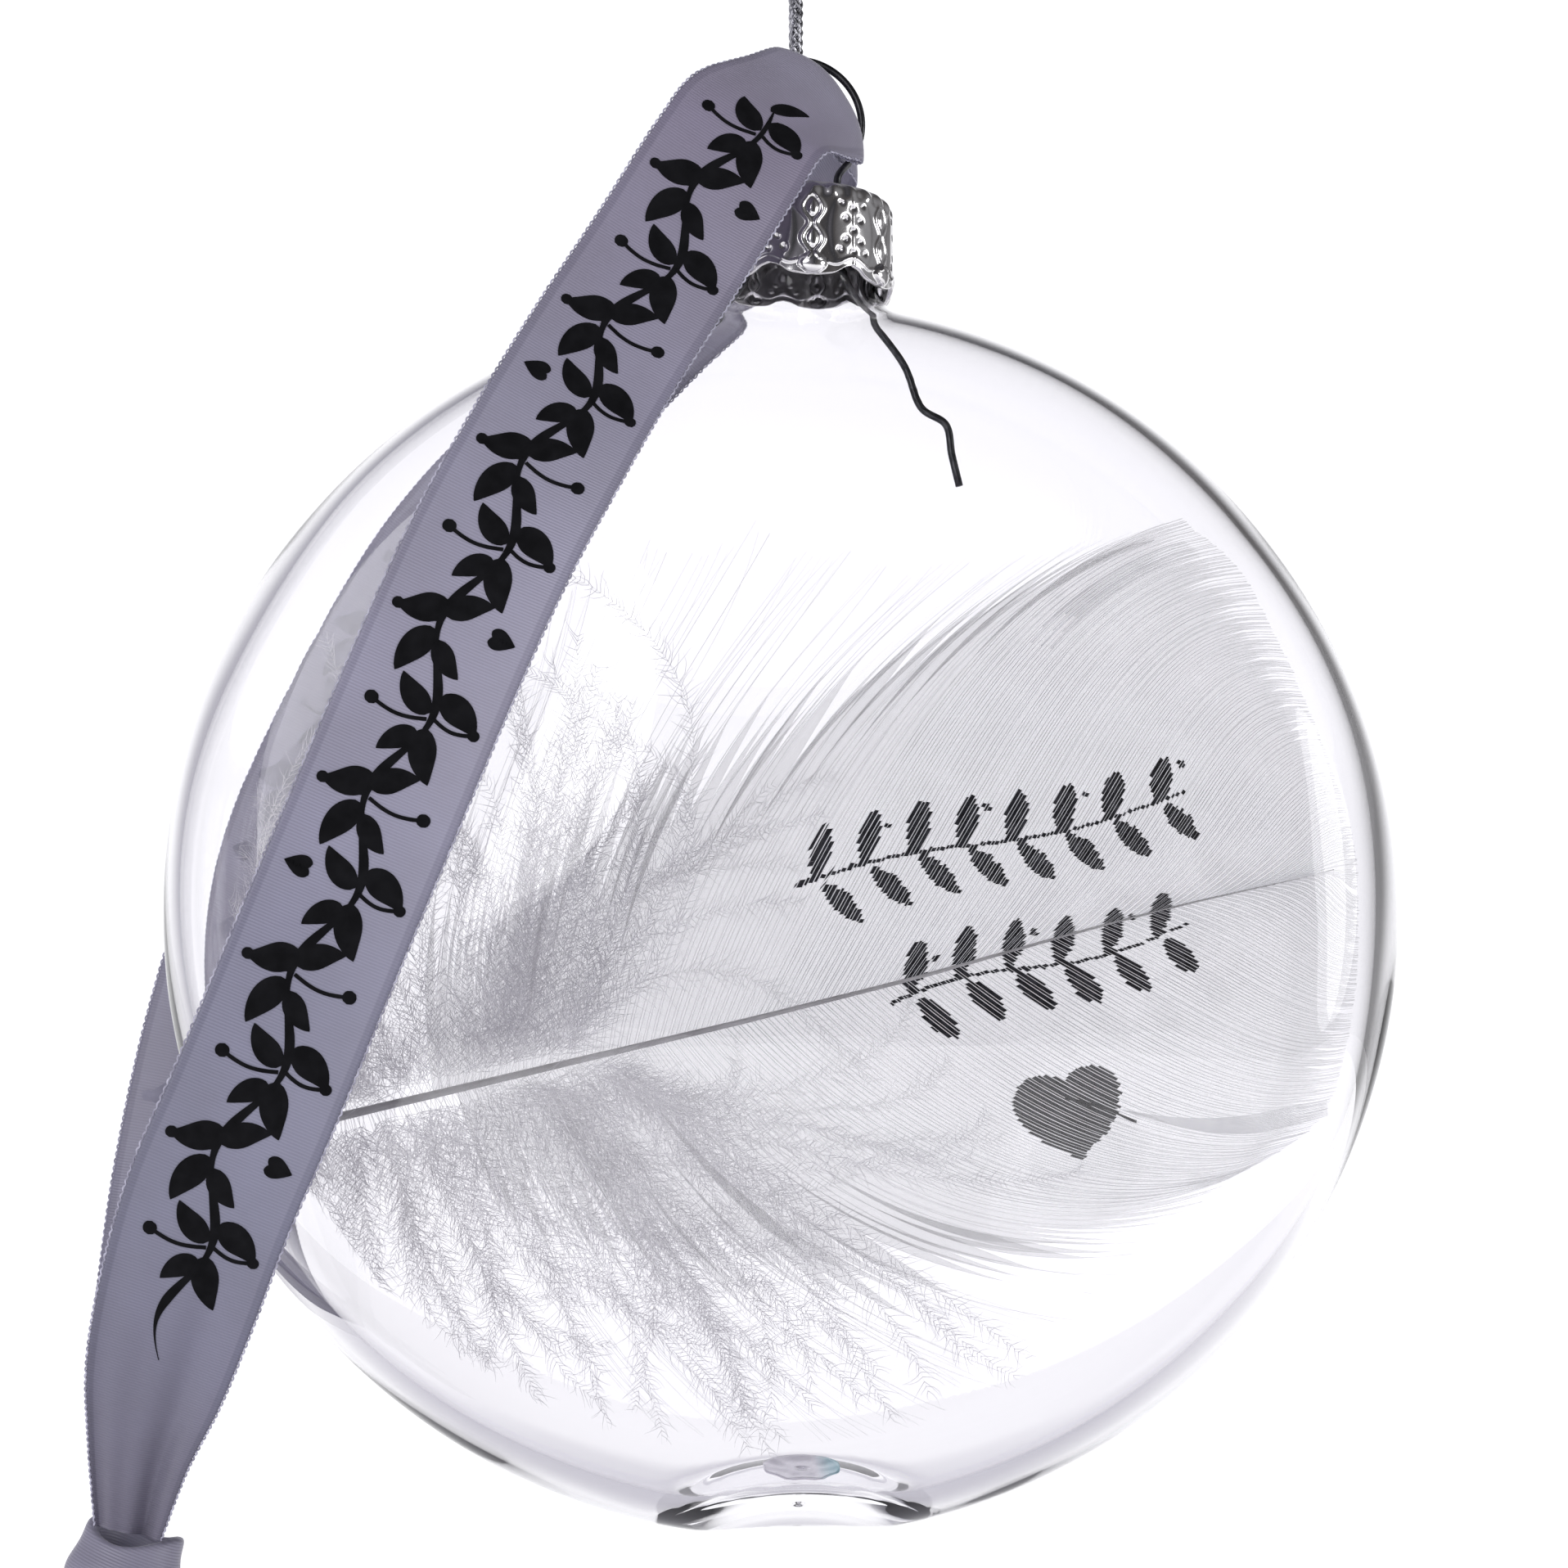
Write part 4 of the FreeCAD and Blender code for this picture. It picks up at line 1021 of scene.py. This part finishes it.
def inside_hollow(line):
    """The part of a line that stays inside the glass."""
    from_middle = np.hypot(line[:, 0] - DISC_SHIFT, line[:, 2])
    deep = np.abs(line[:, 1]) > np.interp(from_middle, (25, 36.0), (11.0, 3.0))
    bad = np.nonzero((from_middle > HOLLOW_REACH) | deep)[0]
    return line[:bad[0]] if len(bad) else line


def down(side, rng):
    """Soft barbs and their barbules on one side of the shaft's foot, in tufts that curl together."""
    barbs, threads = [], []
    lean, curl, deep, sway = (rng.normal(0, 1, DOWN_TUFTS) for _ in range(4))
    for k in range(DOWN_BARBS):
        share = (k + rng.uniform(0, 1)) / DOWN_BARBS
        tuft = int(share * DOWN_TUFTS + rng.normal(0, 0.35)) % DOWN_TUFTS
        if side > 0:
            start = on_line(SHAFT_LINE, 0.02 + 0.27 * share)
            angle = 140 - 66 * share + 10 * lean[tuft] + rng.normal(0, 12)
            length = 18 + 9 * share + rng.normal(0, 4.5)
            bend = -0.15 + 0.8 * curl[tuft] + rng.normal(0, 0.45)
        else:
            start = on_line(SHAFT_LINE, 0.02 + 0.31 * share)
            angle = -98 + 56 * share + 10 * lean[tuft] + rng.normal(0, 13)
            length = 17 + 13 * share + rng.normal(0, 4)
            bend = 0.45 + 0.8 * curl[tuft] + rng.normal(0, 0.5)
        depth = 2.2 * deep[tuft] + rng.normal(0, 0.8)
        line = inside_hollow(plume(start, angle, max(length, 7), bend, depth, 3 * sway[tuft], rng))
        if len(line) >= 3:
            barbs.append(line)
            inner = [inside_hollow(thread) for thread in barbules(line, rng)]
            threads += [thread for thread in inner if len(thread) > 3]
    return barbs, threads


def chained(line):
    """Capsules from each (x, z, half width) of a line to the next."""
    return [(*a, *b) for a, b in zip(line[:-1], line[1:])]


def sprig_shapes():
    """The pattern printed on the feather, as capsules: x, z and the half width at both ends."""
    def wave(t):
        return 0.45 * math.sin(t * 2.2 * math.pi)

    def small_leaf(x, z, angle, length):
        c, s = towards(angle) * length
        return chained([(x + t * c, z + t * s, 0.75 * math.sin(math.pi * t) ** 0.7)
                        for t in np.linspace(0, 1, 9)])

    shapes = []
    for x0, z0, length, slope, leaves, dotted in ((0.0, 1.4, 26.5, 13.5, 8, 1), (6.2, -6.2, 20.0, 14.5, 6, 0)):
        c, s = towards(slope)
        shapes += chained([(x0 + length * t * c - wave(t) * s, z0 + length * t * s + wave(t) * c,
                            0.22 - 0.08 * t) for t in np.linspace(0, 1, 30)])
        for k in range(leaves):
            t = (k + 0.35) / leaves
            x, z, size = x0 + length * t * c, z0 + length * t * s + wave(t), 3.9 - 0.8 * t
            shapes += small_leaf(x, z, slope + 62, size)
            shapes += small_leaf(x + 0.5, z - 0.1, slope - 58, size)
            if k % 2 == dotted:
                shapes.append((x + 1.7, z + 2.5, 0.3, x + 1.75, z + 2.5, 0.3))
    return np.array(shapes)


def in_heart(x, z):
    """The heart under the sprigs."""
    u, v = (x - 18.0) / 4.0, (z + 14.0) / 3.45
    c, s = math.cos(0.22), math.sin(0.22)
    u, v = u * c + v * s, -u * s + v * c
    return (u * u + (1.15 * v - 0.62 * np.sqrt(np.abs(u))) ** 2) < 0.80


def feather_ink(name, barb_sets, material):
    """The printed pattern: it takes only on the barbs, so it is made of short dashes along them."""
    shapes = sprig_shapes()[:, None]
    a, b = shapes[..., :2], shapes[..., 3:5]
    dashes = []
    for here, beyond in [pair for barbs in barb_sets for pair in zip(barbs[:-1], barbs[1:])]:
        count = int(lengths(here)[-1] / 0.14)
        line, along = even(here, count), np.linspace(0, 1, count)
        knots = np.linspace(0, 1, BARB_POINTS)
        gap = np.stack([np.interp(along, knots, (beyond - here)[:, k]) for k in range(2)], 1)
        middle = line + gap * 0.45
        t = np.clip(((middle - a) * (b - a)).sum(-1) / (((b - a) ** 2).sum(-1) + 1e-9), 0, 1)
        distance = np.linalg.norm(middle - a - (b - a) * t[..., None], axis=-1)
        width = shapes[..., 2] * (1 - t) + shapes[..., 5] * t
        marked = (distance < width).any(0) | in_heart(middle[:, 0], middle[:, 1])
        edges = np.flatnonzero(np.diff(np.concatenate([[0], marked.astype(int), [0]])))
        for low, high in zip(edges[::2], edges[1::2]):
            if high - low >= 3:
                part, over = line[low:high:2], gap[low:high:2]
                near, far = (lifted(part + over * share, -0.05) for share in (0.08, 0.86))
                dashes.append(flat_rings(near, far, 0.014))
    dress(stacks(name, dashes, material, smooth=False), "feather", "feather")


def make_feather():
    """Shaft, closed web, loose barbs, down and the printed pattern."""
    rng = np.random.default_rng(SEED)
    ramus = fibre_material("barb_ridges", (0.54, 0.54, 0.56), (0.72, 0.72, 0.74), 260.0, glow=0.48)
    sheet = fibre_material("barb_web", (0.76, 0.76, 0.77), (0.90, 0.90, 0.91), 300.0, alpha=0.21)
    hair = fibre_material("loose_hair", (0.56, 0.555, 0.58), (0.72, 0.715, 0.74), 220.0, glow=0.52)
    soft = fibre_material("down_threads", (0.54, 0.525, 0.57), (0.70, 0.685, 0.73), 200.0, rough=0.8, glow=0.22)
    quill = fibre_material("quill", (0.42, 0.41, 0.42), (0.66, 0.65, 0.66), 400.0, rough=0.35)
    ink = ink_material("feather_print", (0.012, 0.012, 0.016), (0.07, 0.07, 0.08), 1500.0)

    # angles of the barbs at the shaft and at their tips, in degrees, for shares of the way to the last barb
    upper = vane_barbs(UPPER_TIPS, UPPER_START, ((0, 0.3, 0.68, 1), (64, 52, 30, 14)),
                       ((0, 0.45, 1), (18, -9, 0)), 148, rng)
    lower = vane_barbs(LOWER_TIPS, LOWER_START, ((0, 0.36, 0.74, 1), (-47, -37, -16, 8)),
                       ((0, 0.3, 0.7, 1), (22, 17, 6, 4)), 146, rng)
    upper_loose = clumped(UPPER_SPREAD, (0.17, UPPER_START), ((0, 0.5, 1), (98, 82, 64)),
                          ((0, 0.4, 0.7, 1), (84, 62, 42, 18)), 78, rng)
    lower_loose = clumped(LOWER_SPREAD, (0.19, LOWER_START), ((0, 0.5, 1), (-74, -60, -47)),
                          ((0, 0.4, 0.7, 1), (-52, -34, -12, 22)), 72, rng)
    for name, barbs, loose in (("vane_upper", upper, upper_loose), ("vane_lower", lower, lower_loose)):
        closed = 0.10 + 0.76 * np.linspace(0, 1, len(loose))[:-1] ** 1.6
        sheet_piece = web(name + "_web", np.concatenate([loose[:-1], barbs]),
                          np.concatenate([closed, np.full(len(barbs), 0.89)]), sheet, rng)
        dress(sheet_piece, "feather", "feather", "feather_" + name)
        hairs(name + "_barbs", [lifted(b, -0.02) for b in barbs], 0.035, ramus, "feather_" + name)
    # a fold in the web, where some barbs are doubled over
    folds = []
    for share in np.linspace(0, 1, 16):
        fold = barb((21.2 + 1.6 * share, -13.1 - 0.5 * share), (34.7, -12.5 - 1.0 * share),
                    -12 - 6 * share, 7 + 8 * share)
        folds.append(lifted(fold, -0.08 - 0.25 * share))
    for k in range(10, 18):
        folds.append(lifted((upper[k] + upper[k + 1])[17 - k % 3:25] / 2, -0.08))
    hairs("vane_folds", folds, 0.050, ramus)
    # painted shade in the fold's crease, drawn in the print's ink where the crease crosses the printed heart
    crease_shade_lines = [barb((17.4 + 0.5 * k, -12.3 - 0.13 * k), (22.0, -13.75 - 0.05 * k), -8, -18) for k in range(4)]
    hairs("crease_painted_shade", [lifted(line, -0.12) for line in crease_shade_lines], 0.075, ink)
    stray = np.linspace(0, 1, BARB_POINTS) ** 2
    hairs("loose_barbs", [lifted(line, -0.02) + np.outer(stray, [0, rng.normal(0, 0.5), 0])
                          for line in np.concatenate([upper_loose[:-1], lower_loose[:-1]])], 0.020, hair)
    hairs("combed_barbs", [lifted(line, -0.05) for side in (1, -1) for line in combed(side, rng)], 0.018, hair)
    feather_ink("feather_print", (np.concatenate([upper_loose[:-1], upper]), lower), ink)
    for side, name in ((1, "down_upper"), (-1, "down_lower")):
        barbs, threads = down(side, rng)
        hairs(name + "_barbs", barbs, 0.024, hair, "feather_down", sides=3)
        hairs(name + "_fluff", threads, 0.0190, soft, "feather_down", sides=3)
    line = lifted(in_plane(SHAFT, 260))
    rod = tubes("feather_quill", [line], lambda share: 0.32 - 0.28 * share**0.8, 16, quill)
    dress(rod, "quill", "feather", "feather_shaft")


def make_sequin():
    """A cupped sequin with a small hole, lying on the dimple."""
    low, high = (np.array(corner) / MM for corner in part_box("sequin"))
    middle = (low + high) / 2 - [0, 0, CENTRE_Z] + SEQUIN_LIFT
    radius, theta = high[0], circle(96)
    profile = [(0.20, 0.02), (0.60, 0.03), (1.1, 0.02), (1.25, 0.0), (1.75, 0.07), (2.2, 0.16), (radius, 0.20)]
    profile += [(out, lift - SEQUIN_SHEET) for out, lift in reversed(profile)]
    rings = []
    for out, lift in profile:
        faceted = np.cos(8 * theta) * (out > 1.2)
        u, v = (out * (1 - 0.018 * faceted) * way(theta) for way in (np.cos, np.sin))
        h = lift - 0.06 + 0.02 * faceted
        c, s = math.cos(SEQUIN_TILT), math.sin(SEQUIN_TILT)
        rings.append(np.stack([u, v * c - h * s, v * s + h * c], 1))
    points = np.array(rings) + middle
    # painted highlight and glow: the sequin glows a little, and its right edge is painted as a teal glint of
    # its iridescence
    material, tree, shader = new_material("sequin_painted_glint", Metallic=0.25, Roughness=0.22,
                                          Emission_Strength=0.14)
    place = map_range(tree, split_axes(tree, object_place(tree))[0], -radius * MM, radius * MM)
    tone = ramp(tree, place, (0.0, (0.74, 0.71, 0.80)), (0.68, (0.76, 0.74, 0.82)),
                (0.86, (0.42, 0.62, 0.70)), (1.0, (0.16, 0.42, 0.50)))
    fill(tree, shader, {"Base Color": tone, "Emission Color": tone})
    faces = grid_faces(len(rings), len(theta), wrap_rows=True)
    dress(add_mesh("sequin_cup", points.reshape(-1, 3), faces, material), "sequin", "sequin", "sequin")


# ---------------------------------------------------------------- light, floor and camera

def make_stage():
    """A bright backdrop behind the ornament, softer light in front, and a pale floor below the view."""
    world = bpy.data.worlds.new("studio")
    bpy.context.scene.world = world
    world.use_nodes = True
    tree = world.node_tree
    across, away = split_axes(tree, node(tree, "TexCoord").outputs["Generated"])
    behind = map_range(tree, away, 0.60, 0.94, interpolation_type="SMOOTHSTEP")
    # the room in front is uneven: lighter on the left, dark to the right, so that metal has something to show
    front = ramp(tree, map_range(tree, across, -1.0, 1.0), (0.0, (0.55, 0.54, 0.60)),
                 (0.30, (0.34, 0.335, 0.38)), (0.52, (0.13, 0.125, 0.14)), (0.66, (0.05, 0.05, 0.055)),
                 (0.80, (0.09, 0.085, 0.085)), (1.0, (0.32, 0.32, 0.33)))
    fill(tree, tree.nodes["Background"], {"Color": mixed(tree, behind, front, (1.14, 1.14, 1.165, 1.0), "MIX")})

    floor_radius, floor_drop = 1.15, 0.10
    bpy.ops.mesh.primitive_circle_add(vertices=96, radius=floor_radius, fill_type="NGON",
                                      location=(0, 0, CAD_BOX[0][2] - floor_drop))
    floor = bpy.context.object
    floor.name = "floor"
    material, tree, shader = new_material("pale_floor", Base_Color=(0.86, 0.86, 0.87, 1.0), Roughness=0.8,
                                          Emission_Strength=0.75)
    # painted light and shade: the floor glows, bright far out and dim round the ornament, a painted pool of
    # shade under it
    distance = node(tree, "VectorMath", {0: object_place(tree)}, operation="LENGTH").outputs["Value"]
    fill(tree, shader, {"Emission Color": ramp(tree, distance, (0.16, (0.30, 0.29, 0.34)), (0.46, 1.0))})
    floor.data.materials.append(material)

    middle = Vector((0.0, 0.0, CENTRE_Z * MM))
    for name, place, size, power in (("soft_front", (-0.45, -0.75, 0.35), 0.7, 3.0),
                                     ("soft_side", (0.75, -0.30, 0.10), 0.4, 1.2)):
        light = bpy.data.lights.new(name, "AREA")
        light.shape, light.size, light.energy = "DISK", size, power
        lamp = bpy.data.objects.new(name, light)
        lamp.location = middle + Vector(place)
        lamp.rotation_euler = (-Vector(place)).to_track_quat("-Z", "Y").to_euler()
        bpy.context.scene.collection.objects.link(lamp)
    bpy.context.scene.view_settings.view_transform = "Standard"


def make_camera():
    """Close in front, a little to the left and below the ring, looking up."""
    aim = Vector((-0.8, 0.0, 8.05 + CENTRE_Z)) * MM
    distance, yaw, pitch = 221.5 * MM, math.radians(3.5), math.radians(7.0)
    look = Vector((math.cos(pitch) * math.sin(yaw), math.cos(pitch) * math.cos(yaw), math.sin(pitch)))
    data = bpy.data.cameras.new("camera")
    data.lens, data.sensor_width = 78.0, 36.0
    data.clip_start, data.clip_end = 0.01, 10.0
    camera = bpy.data.objects.new("camera", data)
    camera.location = aim - look * distance
    camera.rotation_mode = "QUATERNION"
    camera.rotation_quaternion = look.to_track_quat("-Z", "Y")
    bpy.context.scene.collection.objects.link(camera)
    bpy.context.scene.camera = camera


make_stage()
make_camera()
make_glass()
make_wire()
make_cap()
make_cord()
make_ribbon()
make_feather()
make_sequin()
